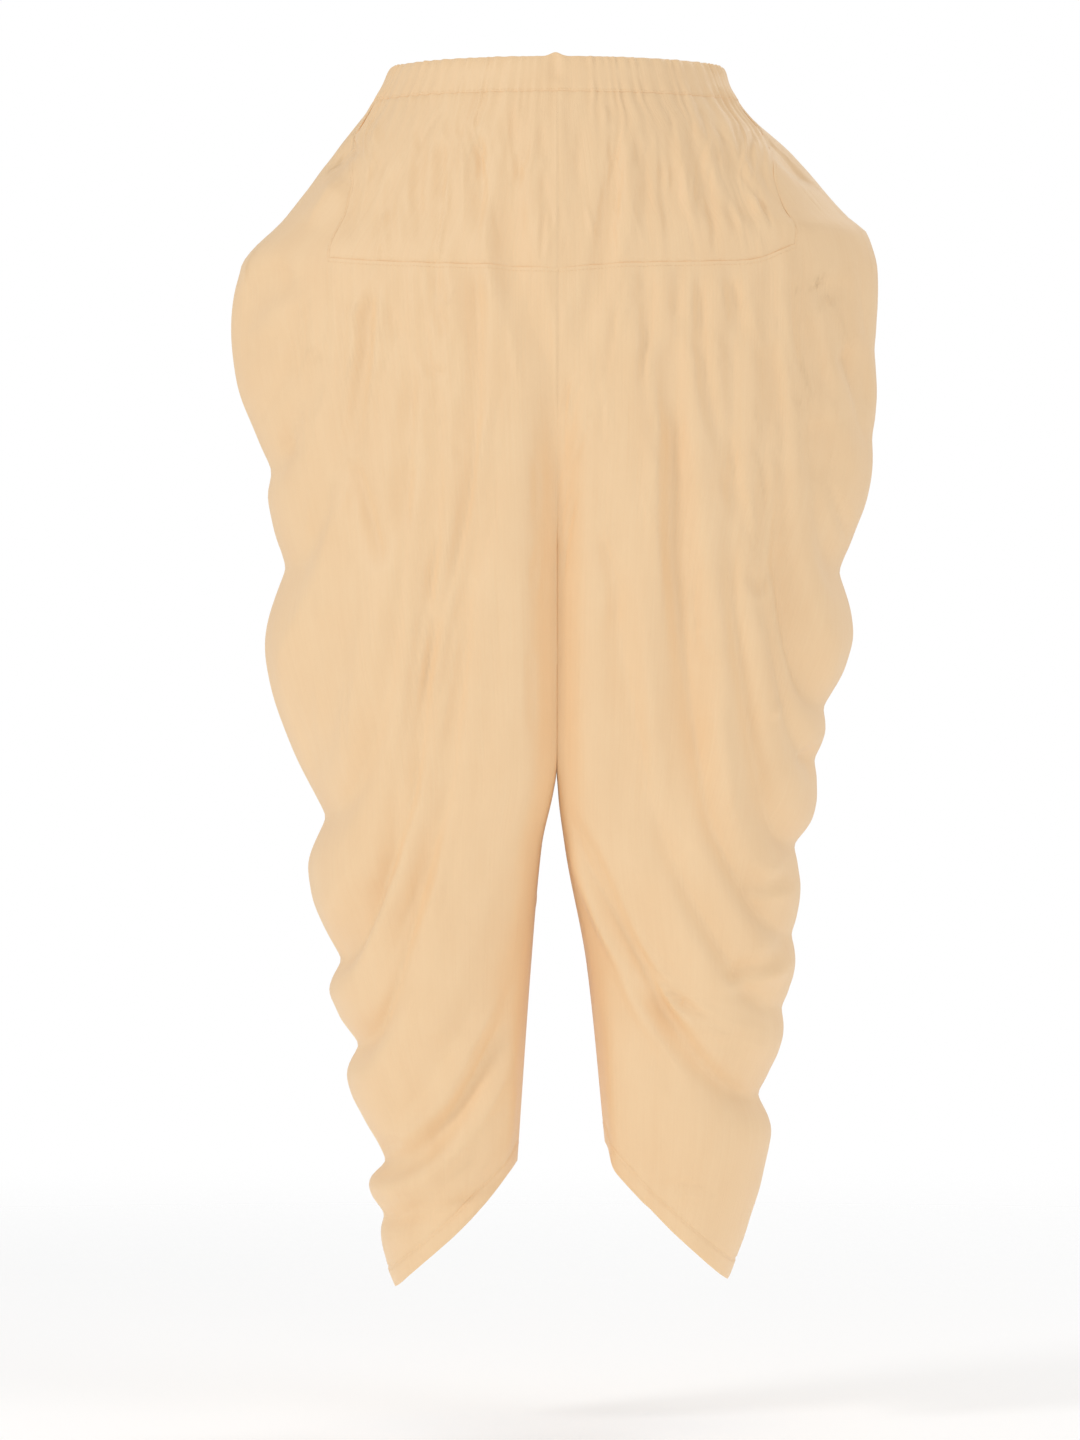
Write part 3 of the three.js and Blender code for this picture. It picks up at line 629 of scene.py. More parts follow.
def ripple_height(line, share, seed):
    """Shallow secondary waves along the fold lines."""
    chance = np.random.RandomState(seed)
    total = np.zeros_like(line)
    for _ in range(RIPPLES):
        count, slant = chance.uniform(*RIPPLE_COUNTS), chance.uniform(*RIPPLE_SLANTS)
        start = chance.uniform(0, 1)
        turns = share * chance.uniform(*RIPPLE_SWELLS) + chance.uniform(0, 1)
        swell = 0.5 + 0.5 * np.sin(2 * math.pi * turns)
        total += swell * np.sin(2 * math.pi * (line * count + share * slant + start))
    return total * RIPPLE_HEIGHT / RIPPLES


def crease_line(points, count=16):
    """A smooth line of evenly spread points through a crease's few points."""
    points = np.array(points, float)
    lengths = lengths_along(points)
    at = np.linspace(0, lengths[-1], count)
    line = np.stack([np.interp(at, lengths, points[:, column]) for column in (0, 1)], axis=1)
    for _ in range(count // 3):
        line[1:-1] = (line[:-2] + 2 * line[1:-1] + line[2:]) / 4
    return line


# A crease of this half width or more counts as a broad fold. Fine creases and broad folds have
# their own shares of the table's height, and where troughs cross they stay above a depth.
BROAD_WIDTH = 8.5
FINE_SHARE = 1.15
BROAD_SHARE = 1.65
FINE_DEEPEST = 3.6
BROAD_DEEPEST = 6.0

# Across a crease: how crisp its middle is, the low shoulder beside it and how far it is felt,
# in half widths. Along it: the shares of its length over which it rises and falls.
CREASE_POWER = 1.4
SHOULDER = 0.22
SHOULDER_PLACE = 1.9
SHOULDER_WIDTH = 0.8
CREASE_REACH = 3.2
CREASE_START = 0.22
CREASE_END = 0.34


def limited(height, deepest):
    """A height, with what is sunk held above a greatest depth."""
    return np.where(height < 0, deepest * np.tanh(height / deepest), height)


def crease_height(creases, across, drop):
    """How far all creases together move the cloth at places seen from the front."""
    fine, broad = np.zeros_like(across), np.zeros_like(across)
    for crease in creases:
        line = crease_line(crease.points)
        reach = CREASE_REACH * crease.width
        low, high = line.min(axis=0) - reach, line.max(axis=0) + reach
        near = (across > low[0]) & (across < high[0]) & (drop > low[1]) & (drop < high[1])
        if not near.any():
            continue
        place = np.stack([across[near], drop[near]], axis=-1)[:, None]
        start, way = line[:-1], np.diff(line, axis=0)
        share = np.clip(((place - start) * way).sum(-1) / (way ** 2).sum(-1), 0, 1)
        apart = np.linalg.norm(place - start - way * share[..., None], axis=-1)
        nearest = apart.argmin(axis=1)
        rows = np.arange(len(nearest))
        along = (nearest + share[rows, nearest]) / len(way)
        off = apart[rows, nearest] / crease.width
        shoulder = np.exp(-((off - SHOULDER_PLACE) / SHOULDER_WIDTH) ** 2)
        shape = np.exp(-off ** CREASE_POWER) - SHOULDER * shoulder
        shape *= crease.height * within(along, 0, 1, CREASE_START, CREASE_END)
        if crease.width < BROAD_WIDTH:
            fine[near] += FINE_SHARE * shape
        else:
            broad[near] += BROAD_SHARE * shape
    return limited(fine, FINE_DEEPEST) + limited(broad, BROAD_DEEPEST)


def softened(height, turns):
    """A grid of heights with its sharp valleys rounded a little."""
    for _ in range(turns):
        padded = np.pad(height, 1, mode="edge")
        height = (padded[:-2, 1:-1] + padded[2:, 1:-1] + padded[1:-1, :-2] + padded[1:-1, 2:]) / 8
        height = height + padded[1:-1, 1:-1] / 2
    return height


# Gathers round the waist: their widths, heights and lengths below the casing, and how far they
# wander, in two waves that each repeat over a place round the waist and over a drop
GATHER_SEED = 11
GATHER_WIDTHS = (3.6, 14.0)
GATHER_HEIGHTS = (0.4, 2.4)
GATHER_LENGTHS = (8.0, 60.0)
GATHER_WANDER = 1.6
GATHER_WANDER_START = 20.0
GATHER_WAVES = ((11, 17), (29, -23))

# The waist's four quarters, each with its length, its place in the round and its way
WAIST_QUARTER = 180.0
QUARTERS = {(1, True): (0, 1), (-1, True): (1, -1), (-1, False): (2, 1), (1, False): (3, -1)}


def gathers():
    """Uneven gathers all round the waist: where each starts, its height and how far it falls."""
    chance = np.random.RandomState(GATHER_SEED)
    whole = 4 * WAIST_QUARTER
    widths = []
    while sum(widths) < whole:
        widths.append(chance.uniform(*GATHER_WIDTHS))
    starts = np.concatenate([[0], np.cumsum(widths)]) * whole / sum(widths)
    heights = chance.uniform(*GATHER_HEIGHTS, len(widths))
    lengths = chance.uniform(*GATHER_LENGTHS, len(widths))
    return starts, heights, lengths


def waist_place(leg, front, station):
    """The distance round the waist at which a station lies."""
    share = np.arccos(np.clip(1 - station, -1, 1)) / (math.pi / 2)
    fore = QUARTERS[leg.side, True]
    aft = QUARTERS[leg.side, False]
    first = np.where(front, fore[0], aft[0])
    way = np.where(front, fore[1], aft[1])
    return WAIST_QUARTER * (first + np.where(way > 0, share, 1 - share))


def gather_height(place, drop):
    """The height of the gathers at a distance round the waist and a drop."""
    starts, heights, lengths = gathers()
    wander = sum(np.sin(place / around + drop / down) for around, down in GATHER_WAVES)
    wander = GATHER_WANDER * wander * ease((drop - CASING_DEPTH) / GATHER_WANDER_START)
    place = (place + wander) % starts[-1]
    row = np.clip(np.searchsorted(starts, place, side="right") - 1, 0, len(heights) - 1)
    share = (place - starts[row]) / (starts[row + 1] - starts[row])
    below = np.maximum(drop - CASING_DEPTH, 0)
    return heights[row] * np.sin(math.pi * share) ** 2 * np.exp(-below / lengths[row])


class Cloth:
    """A grid of cloth, rows down and columns across: its points and its places in the weave."""

    def __init__(self, points, outward, across, drop):
        self.points = points
        self.outward = outward
        self.pattern = np.stack([across, -drop], axis=-1) * MM

    def line(self, row, step):
        """Points, ways and outward directions every step along one row, for stitches."""
        return along_line(self.points[row], self.outward[row], step)


def along_line(points, outward, step):
    """Points, ways and outward directions every step along a line of points."""
    lengths = lengths_along(points)
    at = np.arange(step / 2, lengths[-1], step)

    def spread(values, place):
        return np.stack([np.interp(place, lengths, values[:, k]) for k in range(3)], axis=1)

    way = spread(points, at + step / 4) - spread(points, at - step / 4)
    way /= np.linalg.norm(way, axis=1, keepdims=True)
    return spread(points, at), way, spread(outward, at)


# Drops at which a column's even place is measured, and the drop that gives the weave its width
EVEN_DROPS = (210.0, 420.0, 640.0, 840.0)
PATTERN_DROP = 300.0

# In how many steps such lengths and the gore's edge are followed
EVEN_STEPS = 600
PATTERN_STEPS = 200
GORE_STEPS = 200


def even_stations(leg, front, count):
    """Stations from the side to the centre at about even lengths of cloth."""
    fine = (1 - np.cos(np.linspace(0, math.pi, EVEN_STEPS))) / 2
    mean = np.zeros(len(fine))
    for drop in EVEN_DROPS:
        length = lengths_along(body(leg, front, fine, drop))
        mean += length / length[-1] / len(EVEN_DROPS)
    return np.interp(np.linspace(0, 1, count + 1), mean, fine)


def band_lift(leg):
    """The height of the hem's band straight up, where it is measured across its slant."""
    hem = leg.hem
    slope = (hem.tip_drop - hem.corner_drop) / (hem.tip_out - hem.corner_out)
    return HEM_BAND * math.hypot(1, slope)


def hem_bottom(leg, station, lift):
    """The drop at which a station's column meets the slanting hem, less a lift."""
    hem = leg.hem

    def below(drop):
        out = mix(outer_reach(leg, drop), inner_reach(leg, drop), station)
        share = np.clip((out - hem.corner_out) / (hem.tip_out - hem.corner_out), 0, 1)
        edge = mix(hem.corner_drop, hem.tip_drop, share) + hem.bow * hump(share)
        return edge - lift - drop < 0

    return solve(np.full_like(station, CROTCH_DROP), np.full_like(station, LOWEST_DROP), below)


def edge_scale(leg, front):
    """How much wider the gore is on a face than in its table: 1 on the front."""
    end = leg.edge["station"][-1]
    wider = end + BACK_SHIFT * hump(end)
    return np.where(front, 1.0, wider / end)


def edge_station(leg, front, drop):
    """The station of the gore's edge beside the yoke."""
    return smooth(leg.edge["drop"], leg.edge["station"], drop) * edge_scale(leg, front)


def leg_top(leg, front, station):
    """The drop at which a column starts: at the yoke seam, the gore's edge or the casing."""
    drops = np.linspace(CASING_DEPTH, leg.edge["drop"][-1], GORE_STEPS)
    edge = smooth(leg.edge["drop"], leg.edge["station"], drops)
    reduced = station / edge_scale(leg, front)
    gore = np.interp(reduced, edge, drops, left=CASING_DEPTH, right=0)
    in_gore = reduced < leg.edge["station"][-1]
    return np.where(in_gore, np.maximum(gore, CASING_DEPTH), seam_drop(leg, station))


# Density of the leg's grid: columns on each face, rows to the crotch and rows to the hem
LEG_FRONT_COLUMNS = 128
LEG_BACK_COLUMNS = 80
LEG_RISE_ROWS = 66
LEG_LOWER_ROWS = 158
HEM_ROWS = 6

# How often the sharp valleys between folds are softened, and how a hem's band rises and turns in
VALLEY_TURNS = 3
HEM_RISE = 0.5
HEM_TURN = 0.9


def leg_columns(leg):
    """Stations of all columns from the front seam round the side to the back, and their faces."""
    fore = even_stations(leg, True, LEG_FRONT_COLUMNS)[::-1]
    aft = even_stations(leg, False, LEG_BACK_COLUMNS)[1:]
    station = np.concatenate([fore, aft])
    return station, np.arange(len(station)) < len(fore)


def leg_surface(leg, front, station, drop, sink):
    """A leg's cloth where columns meet rows of drops, with its folds, pleats and creases."""
    station, front = np.broadcast_to(station, drop.shape), np.broadcast_to(front, drop.shape)
    line, share, fall = fold_place(leg, front, station, drop)
    height = fold_height(leg, line, share) + PLEAT_SHARE * pleat_height(leg, line, fall)
    height *= mix(SEAM_HOLD, 1, ease(fall / SEAM_HOLD_REACH))
    height += ripple_height(line, share, RIPPLE_SEED + leg.side) * ease(fall / RIPPLE_FALL)
    height = softened(height * ease((1 - station) / SEAM_FADE), VALLEY_TURNS)
    points = body(leg, front, station, drop)
    fore = crease_height(CREASES, points[..., 0], drop)
    aft = crease_height(BACK_CREASES, points[..., 0], drop)
    height += np.where(front, fore, aft) * within(station, 0, 1, SIDE_FADE, CENTRE_FADE)
    gathered = gather_height(waist_place(leg, front, station), drop)
    height += np.where(drop < YOKE_DROP, gathered, 0)
    height = np.where(station > AT_SEAM, 0, height - sink)
    outward = body_normal(leg, front, station, drop)
    points = points + outward * height[..., None]
    return Cloth(points, outward, pattern_across(leg, front, station), drop)


def leg_cloth(leg):
    """A leg from the yoke seam, the gore's edge and the casing to the top of its hem."""
    station, front = leg_columns(leg)
    top = leg_top(leg, front, station)
    bottom = hem_bottom(leg, station, band_lift(leg))
    crotch = np.full_like(top, CROTCH_DROP)
    upper = spread_rows(top, crotch, LEG_RISE_ROWS, at_bottom=False)
    lower = spread_rows(crotch, bottom + SEAM_LAP, LEG_LOWER_ROWS, at_top=False)
    drop = np.concatenate([upper, lower[1:]])
    sink = edge_turn(drop - top) + lap_sink(bottom - drop)
    return leg_surface(leg, front, station, drop, sink)


def pattern_across(leg, front, station):
    """The width of flat cloth from the side line to a station, for the weave."""
    fine = np.linspace(0, 1, PATTERN_STEPS)
    fore, aft = [
        np.interp(station, fine, lengths_along(body(leg, face, fine, PATTERN_DROP)))
        for face in (True, False)
    ]
    return leg.side * np.where(front, -fore, aft)


def hem_cloth(leg):
    """The turned band along a leg's slanting edge."""
    station, front = leg_columns(leg)
    top = hem_bottom(leg, station, band_lift(leg))
    bottom = hem_bottom(leg, station, 0.0)
    share = np.linspace(0, 1, HEM_ROWS + 1)[:, None]
    sink = HEM_TURN * (2 * share - 1) ** 4 - HEM_RISE
    return leg_surface(leg, front, station, mix(top, bottom, share), sink)


# Density of the yoke's and the casing's grids. The casing's rows are shares of its depth.
YOKE_COLUMNS = 210
YOKE_BACK_COLUMNS = 150
YOKE_ROWS = 44
CASING_COLUMNS = 640
CASING_ROWS = (0, 0.02, 0.05, *np.linspace(0.09, 0.95, 10), 0.98, 1)


def yoke_half(leg, front, count):
    """One half of a yoke from its side edge to the centre, as points, outward ways and pattern."""
    share = np.linspace(0, 1, count + 1)
    face = np.full(share.shape, front)

    def station_at(drop):
        edge = np.maximum(edge_station(leg, face, drop) - SEAM_LAP / outer_reach(leg, drop), 0)
        return 1 - np.cos(mix(np.arccos(1 - edge), math.pi / 2, share))

    bottom = seam_drop(leg, station_at(YOKE_DROP))
    top = np.full_like(bottom, CASING_DEPTH)
    drop = spread_rows(top - SEAM_LAP, bottom + SEAM_LAP, YOKE_ROWS)
    station = np.stack([station_at(row) for row in drop])
    face = np.full(drop.shape, front)
    place = waist_place(leg, face[:1], station[:1])
    height = gather_height(np.broadcast_to(place, drop.shape), drop)
    points = body(leg, face, station, drop)
    height = height + crease_height(CREASES if front else BACK_CREASES, points[..., 0], drop)
    from_edge = (station - edge_station(leg, face, drop)) * outer_reach(leg, drop)
    laps = [lap_sink(inside) for inside in (drop - top, bottom - drop, from_edge)]
    height = height - np.maximum.reduce(laps)
    outward = body_normal(leg, face, station, drop)
    return points + outward * height[..., None], outward, pattern_across(leg, face, station), drop


def yoke_front_cloth(leg):
    """One half of the front yoke."""
    return Cloth(*yoke_half(leg, True, YOKE_COLUMNS))


def yoke_back_cloth():
    """The back yoke in one width, from the right side edge to the left one."""
    right = yoke_half(RIGHT, False, YOKE_BACK_COLUMNS)
    left = yoke_half(LEFT, False, YOKE_BACK_COLUMNS)
    return Cloth(*[
        np.concatenate([one[:, :-1], other[:, ::-1]], axis=1) for one, other in zip(right, left)
    ])


# The casing's soft puff and rolled top, and how much its gathers vary from its edges to its middle
CASING_PUFF = 0.7
CASING_TOP_ROLL = 1.4
CASING_ROLL_REACH = 2.2
CASING_GATHERS = (0.62, 0.38)

# The small peak at the front's middle and the groove under it
PEAK_ACROSS = -1.6
PEAK_WIDTH = 5.0
PEAK_HEIGHT = 3.0
PEAK_REACH = 9.0
GROOVE_DEPTH = 2.2
GROOVE_START = 4.0
GROOVE_BOTTOM = 22.0
GROOVE_END = 8.0


def casing_cloth():
    """The casing all round the waist, from the left side to the front and on."""
    around = np.linspace(0, 4, CASING_COLUMNS + 1)
    drop = CASING_DEPTH * np.array(CASING_ROWS)[:, None] * np.ones_like(around)
    points, outward = np.zeros(drop.shape + (3,)), np.zeros(drop.shape + (3,))
    across = np.zeros(drop.shape)
    for (side, front), (first, way) in QUARTERS.items():
        leg = LEFT if side > 0 else RIGHT
        picked = (around >= first) & (around <= first + 1)
        share = around[picked] - first
        turn = math.pi / 2 * (share if way > 0 else 1 - share)
        level = drop[:, picked]
        station = np.broadcast_to(1 - np.cos(turn), level.shape)
        face = np.full(level.shape, front)
        points[:, picked] = body(leg, face, station, level)
        outward[:, picked] = body_normal(leg, face, station, level)
        across[:, picked] = WAIST_QUARTER * around[picked]
    mean, change = CASING_GATHERS
    level = mean + change * np.cos(2 * math.pi * drop / CASING_DEPTH)
    height = gather_height(WAIST_QUARTER * around * np.ones_like(drop), drop) * level
    height += CASING_PUFF * np.sin(math.pi * np.clip(drop / CASING_DEPTH, 0, 1))
    height -= CASING_TOP_ROLL * np.exp(-drop / CASING_ROLL_REACH)
    height -= edge_turn(CASING_DEPTH - drop)
    middle = np.exp(-((points[..., 0] - PEAK_ACROSS) / PEAK_WIDTH) ** 2) * (points[..., 1] < 0)
    height -= GROOVE_DEPTH * middle * within(drop, 0, GROOVE_BOTTOM, GROOVE_START, GROOVE_END)
    points = points + outward * height[..., None]
    points[..., 2] += PEAK_HEIGHT * middle * (1 - ease(drop / PEAK_REACH))
    return Cloth(points, outward, across, drop)


# Points closer than this many millimetres are one, and an edge that turns by more than this many
# degrees stays sharp
MERGE = 0.02
CORNER_ANGLE = 60.0


def cloth_piece(name, cloth, thickness, material):
    """A flat grid moved to the cloth's points, closed where its edges meet, with its wall."""
    rows, columns = cloth.points.shape[:2]
    mesh = bmesh.new()
    bmesh.ops.create_grid(mesh, x_segments=columns - 1, y_segments=rows - 1, size=1)
    pattern = mesh.loops.layers.uv.new("weave")
    corners = np.array([vertex.co for vertex in mesh.verts])
    column = np.rint((corners[:, 0] + 1) / 2 * (columns - 1)).astype(int)
    row = np.rint((1 - corners[:, 1]) / 2 * (rows - 1)).astype(int)
    places = cloth.points[row, column] * MM
    patterns = cloth.pattern[row, column]
    mesh.verts.index_update()
    for vertex, place in zip(mesh.verts, places):
        vertex.co = place
    for face in mesh.faces:
        face.smooth = True
        for loop in face.loops:
            loop[pattern].uv = patterns[loop.vert.index]
    outward = {vertex: Vector(way) for vertex, way in zip(mesh.verts, cloth.outward[row, column])}
    mesh.normal_update()
    facing = sum(vertex.normal.dot(way) for vertex, way in outward.items())
    if facing < 0:
        bmesh.ops.reverse_faces(mesh, faces=mesh.faces)
    bmesh.ops.remove_doubles(mesh, verts=mesh.verts, dist=MERGE * MM)
    return finished_piece(name, mesh, material, thickness)


def finished_piece(name, mesh, material, thickness=None):
    """An object of a finished mesh, with a wall where it has a thickness."""
    data = bpy.data.meshes.new(name)
    mesh.to_mesh(data)
    mesh.free()
    data.materials.append(material)
    piece = bpy.data.objects.new(name, data)
    bpy.context.collection.objects.link(piece)
    if thickness:
        wall = piece.modifiers.new("wall", "SOLIDIFY")
        wall.thickness = thickness
        wall.offset = -1
        wall.use_rim = True
        corners = piece.modifiers.new("corners", "EDGE_SPLIT")
        corners.split_angle = math.radians(CORNER_ANGLE)
    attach(piece, BODY)
    return piece


class Signal:
    """A node's output that is used like a number: each operation adds its Math node."""

    def __init__(self, shader, socket):
        self.shader = shader
        self.socket = socket

    def _math(self, operation, first, second=0.0):
        return self.shader.node("ShaderNodeMath", {"operation": operation}, {0: first, 1: second})

    def __add__(self, other):
        return self._math("ADD", self, other)

    def __radd__(self, other):
        return self._math("ADD", other, self)

    def __sub__(self, other):
        return self._math("SUBTRACT", self, other)

    def __rsub__(self, other):
        return self._math("SUBTRACT", other, self)

    def __mul__(self, other):
        return self._math("MULTIPLY", self, other)

    def __rmul__(self, other):
        return self._math("MULTIPLY", other, self)

    def sine(self):
        return self._math("SINE", self)


class Shader:
    """A material's nodes."""

    def __init__(self, name):
        self.material = bpy.data.materials.new(name)
        self.material.use_nodes = True
        self.tree = self.material.node_tree
        self.surface = self.tree.nodes["Principled BSDF"]

    def node(self, kind, settings=None, inputs=None, output=0):
        """A node of a type with its settings and its inputs, and one of its outputs."""
        node = self.tree.nodes.new(kind)
        for name, value in (settings or {}).items():
            setattr(node, name, value)
        self.feed(node, inputs or {})
        return Signal(self, node.outputs[output])

    def mixed(self, factor, first, second):
        """A colour between two others."""
        return self.node(
            "ShaderNodeMix", {"data_type": "RGBA"},
            {"Factor": factor, 6: first, 7: second}, output=2,
        )

    def feed(self, node, inputs):
        """Values or links for a node's sockets."""
        for name, value in inputs.items():
            if isinstance(value, Signal):
                self.tree.links.new(value.socket, node.inputs[name])
            else:
                node.inputs[name].default_value = value

    def finish(self, inputs):
        """The material, with its surface's sockets fed."""
        self.feed(self.surface, inputs)
        return self.material


def linear(colour):
    """A screen colour as the light that it stands for."""
    return [c / 12.92 if c <= 0.04045 else ((c + 0.055) / 1.055) ** 2.4 for c in colour]


def shade(colour, factor, warmth=0.0):
    """A colour made lighter or darker, and warmer where warmth is above 0."""
    red, green, blue = colour
    return (red * factor, green * factor * (1 - warmth / 2), blue * factor * (1 - warmth), 1.0)


# How often the slubs repeat in a metre, across and down
SLUB_SCALE = (620, 15)
LONG_SLUB_SCALE = (240, 4)
MOTTLE_STRETCH = (1, 0.6)
MOTTLE_SCALE = 26.0

# What the mottling, the slubs and the long slubs each give to the cloth's tone, how far the tone
# spreads, and the darkest and the lightest shade as a factor and a warmth
TONE_SHARES = (0.5, 0.3, 0.2)
TONE_SPREAD = 1.4
DARK_SHADE = (0.972, 0.07)
LIGHT_SHADE = (1.028, -0.045)
ROUGHNESS_SPREAD = 0.08

# The darker and the lighter shade of the sewing thread's twist, and how fine the twist is
THREAD_SHADES = (0.92, 1.1)
TWIST_SCALE = 2600.0

# How dark the floor's mottling is, and how fine
FLOOR_SHADE = 0.985
FLOOR_MOTTLE_SCALE = 1.5


def cloth_material(settings):
    """Plain woven rayon: fine threads, upright slubs, a faint mottling and a soft sheen."""
    shader = Shader("peach_rayon")
    place = shader.node("ShaderNodeUVMap", {"uv_map": "weave"})

    def stretched(across, down):
        return shader.node("ShaderNodeMapping", {}, {"Vector": place, "Scale": (across, down, 1)})

    def noise(vector, scale, detail=2.0):
        return shader.node(
            "ShaderNodeTexNoise", {"noise_dimensions": "2D"},
            {"Vector": vector, "Scale": scale, "Detail": detail},
        )

    slub = noise(stretched(*SLUB_SCALE), 1.0, 3.0)
    long_slub = noise(stretched(*LONG_SLUB_SCALE), 1.0)
    mottle = noise(stretched(*MOTTLE_STRETCH), MOTTLE_SCALE, 3.0)
    split = shader.node("ShaderNodeSeparateXYZ", {}, {0: place})
    down = Signal(shader, split.socket.node.outputs[1])
    turns = 2 * math.pi / settings.thread_pitch
    weave = (split * turns).sine() * (down * turns).sine()
    base = linear(settings.colour)
    shares = TONE_SHARES
    tone = mottle * shares[0] + slub * shares[1] + long_slub * shares[2]
    tone = tone * TONE_SPREAD - (TONE_SPREAD - 1) / 2
    dyed = shader.mixed(tone, shade(base, *DARK_SHADE), shade(base, *LIGHT_SHADE))
    relief = slub * settings.slub_height + long_slub * settings.slub_height
    relief = relief + weave * settings.thread_height
    bump = shader.node("ShaderNodeBump", {}, {"Height": relief, "Strength": 0.6, "Distance": 1.0})
    rough = settings.roughness - ROUGHNESS_SPREAD / 2 + slub * ROUGHNESS_SPREAD
    return shader.finish({
        "Base Color": dyed,
        "Roughness": rough,
        "Normal": bump,
        "Sheen Weight": settings.sheen,
        "Sheen Roughness": 0.42,
        "Sheen Tint": (1.0, 0.95, 0.86, 1.0),
        "Specular IOR Level": 0.45,
    })


def thread_material(settings):
    """Sewing thread a little lighter than the cloth, with its twist."""
    shader = Shader("peach_thread")
    place = shader.node("ShaderNodeTexCoord", output=3)
    twist = shader.node(
        "ShaderNodeTexNoise", {}, {"Vector": place, "Scale": TWIST_SCALE, "Detail": 1.0},
    )
    base = linear(settings.colour)
    dyed = shader.mixed(twist, *[shade(base, factor) for factor in THREAD_SHADES])
    bump = shader.node("ShaderNodeBump", {}, {"Height": twist, "Strength": 0.3, "Distance": 0.0002})
    return shader.finish({"Base Color": dyed, "Roughness": 0.45, "Normal": bump})


def floor_material(colour):
    """A pale, matt floor with a very faint mottling, which thins out into the white surround."""
    shader = Shader("pale_floor")
    place = shader.node("ShaderNodeTexCoord", output=3)
    away = shader.node("ShaderNodeVectorMath", {"operation": "LENGTH"}, {0: place}, output=1)
    whole = shader.node(
        "ShaderNodeMapRange", {"interpolation_type": "SMOOTHSTEP"},
        {
            "Value": away, "From Min": FLOOR_FADE[0], "From Max": FLOOR_FADE[1],
            "To Min": 1.0, "To Max": 0.0,
        },
    )
    cloudy = shader.node(
        "ShaderNodeTexNoise", {}, {"Vector": place, "Scale": FLOOR_MOTTLE_SCALE, "Detail": 2.0},
    )
    painted = shader.mixed(cloudy, shade(colour, FLOOR_SHADE), shade(colour, 1.0))
    return shader.finish({
        "Base Color": painted, "Roughness": 0.8, "Alpha": whole,
        "Emission Color": (1.0, 1.0, 1.0, 1.0), "Emission Strength": FLOOR_GLOW,
    })


# Half the width and half the height of a stitch, and how far its middle stands off the cloth
STITCH_WIDTH = 0.24
STITCH_HEIGHT = 0.13
STITCH_RISE = 0.4

# The row of a cloth's grid that each seam's stitches follow
STITCH_ROWS = {
    "stitches_casing": ("waist_casing", -3),
    "stitches_yoke_right": ("leg_right", 3),
    "stitches_yoke_left": ("leg_left", 3),
    "stitches_hem_right": ("hem_right", 1),
    "stitches_hem_left": ("hem_left", 1),
}


def stitch_piece(name, line, length, material):
    """Stitches as small rounded beads of thread along a line of points, in one mesh."""
    mesh = bmesh.new()
    for point, way, out in zip(*line):
        out = out - way * (out @ way)
        out = out / np.linalg.norm(out)
        over = np.cross(out, way)
        turn = np.stack([way * length / 2, over * STITCH_WIDTH, out * STITCH_HEIGHT], axis=1) * MM
        bead = bmesh.ops.create_icosphere(mesh, subdivisions=1, radius=1)["verts"]
        centre = Vector((point + out * STITCH_HEIGHT * STITCH_RISE) * MM)
        for vertex in bead:
            vertex.co = Vector(turn @ np.array(vertex.co)) + centre
    for face in mesh.faces:
        face.smooth = True
    bmesh.ops.recalc_face_normals(mesh, faces=mesh.faces)
    return finished_piece(name, mesh, material)


def amount(name, description, default, **more):
    """A number that the user may change."""
    return bpy.props.FloatProperty(name=name, description=description, default=default, **more)


class ClothSettings(bpy.types.PropertyGroup):
    """Sizes and finish of the cloth."""

    colour: bpy.props.FloatVectorProperty(
        name="Colour", description="The cloth's colour as seen", subtype="COLOR", size=3,
        default=(0.963, 0.827, 0.653),
    )
    thickness: amount("Cloth thickness", "The wall of the cloth", 0.0012, unit="LENGTH")
    doubled: amount(
        "Doubled thickness", "The wall of a turned or doubled edge", 0.0022, unit="LENGTH",
    )
    thread_pitch: amount(
        "Thread pitch", "From one thread of the weave to the next", 0.0007,
        unit="LENGTH", precision=5,
    )
    thread_height: amount(
        "Thread height", "Relief of the weave", 0.00004, unit="LENGTH", precision=6,
    )
    slub_height: amount(
        "Slub height", "Relief of the thicker upright threads", 0.00022, unit="LENGTH", precision=6,
    )
    roughness: amount("Roughness", "How matt the cloth is", 0.5, subtype="FACTOR", min=0, max=1)
    sheen: amount("Sheen", "Soft light at grazing angles", 0.12, subtype="FACTOR", min=0, max=1)
    stitch_length: amount("Stitch length", "Length of one stitch in millimetres", 2.4)
    stitch_pitch: amount("Stitch pitch", "From one stitch to the next in millimetres", 3.1)


class StageSettings(bpy.types.PropertyGroup):
    """The camera, the light and the floor round the garment."""

    distance: amount(
        "Distance", "From the camera to the garment's side line", 5.4, unit="LENGTH",
    )
    view_height: amount(
        "View height", "Height of the picture at the garment", 1.145, unit="LENGTH",
    )
    aim: bpy.props.FloatVectorProperty(
        name="Aim", description="The point at the middle of the picture", subtype="TRANSLATION",
        size=3, default=(-0.0135, 0.0, -0.519),
    )
    floor_height: amount("Floor height", "The floor under the garment", -1.08, unit="LENGTH")
    key_power: amount("Key light", "Power of the main light in watts", 29.0)
    fill_power: amount("Fill light", "Power of the filling light in watts", 14.5)
    back_power: amount("Back light", "Power of the light behind in watts", 16.0)
    sky: amount("Ambient", "Strength of the light from all round", 0.645)


# The grids of the pieces that are made, for the stitches that follow their rows
CLOTHS = {}


def garment_piece(name, cloth, thickness, material):
    """A piece of cloth that stands for the frame's node of the same name."""
    CLOTHS[name] = cloth
    piece = cloth_piece(name, cloth, thickness, material)
    piece.name = f"{name}_cloth"
    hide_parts(name)


def cloth_of(context):
    """The cloth's material, made once."""
    return bpy.data.materials.get("peach_rayon") or cloth_material(context.scene.salwar_cloth)


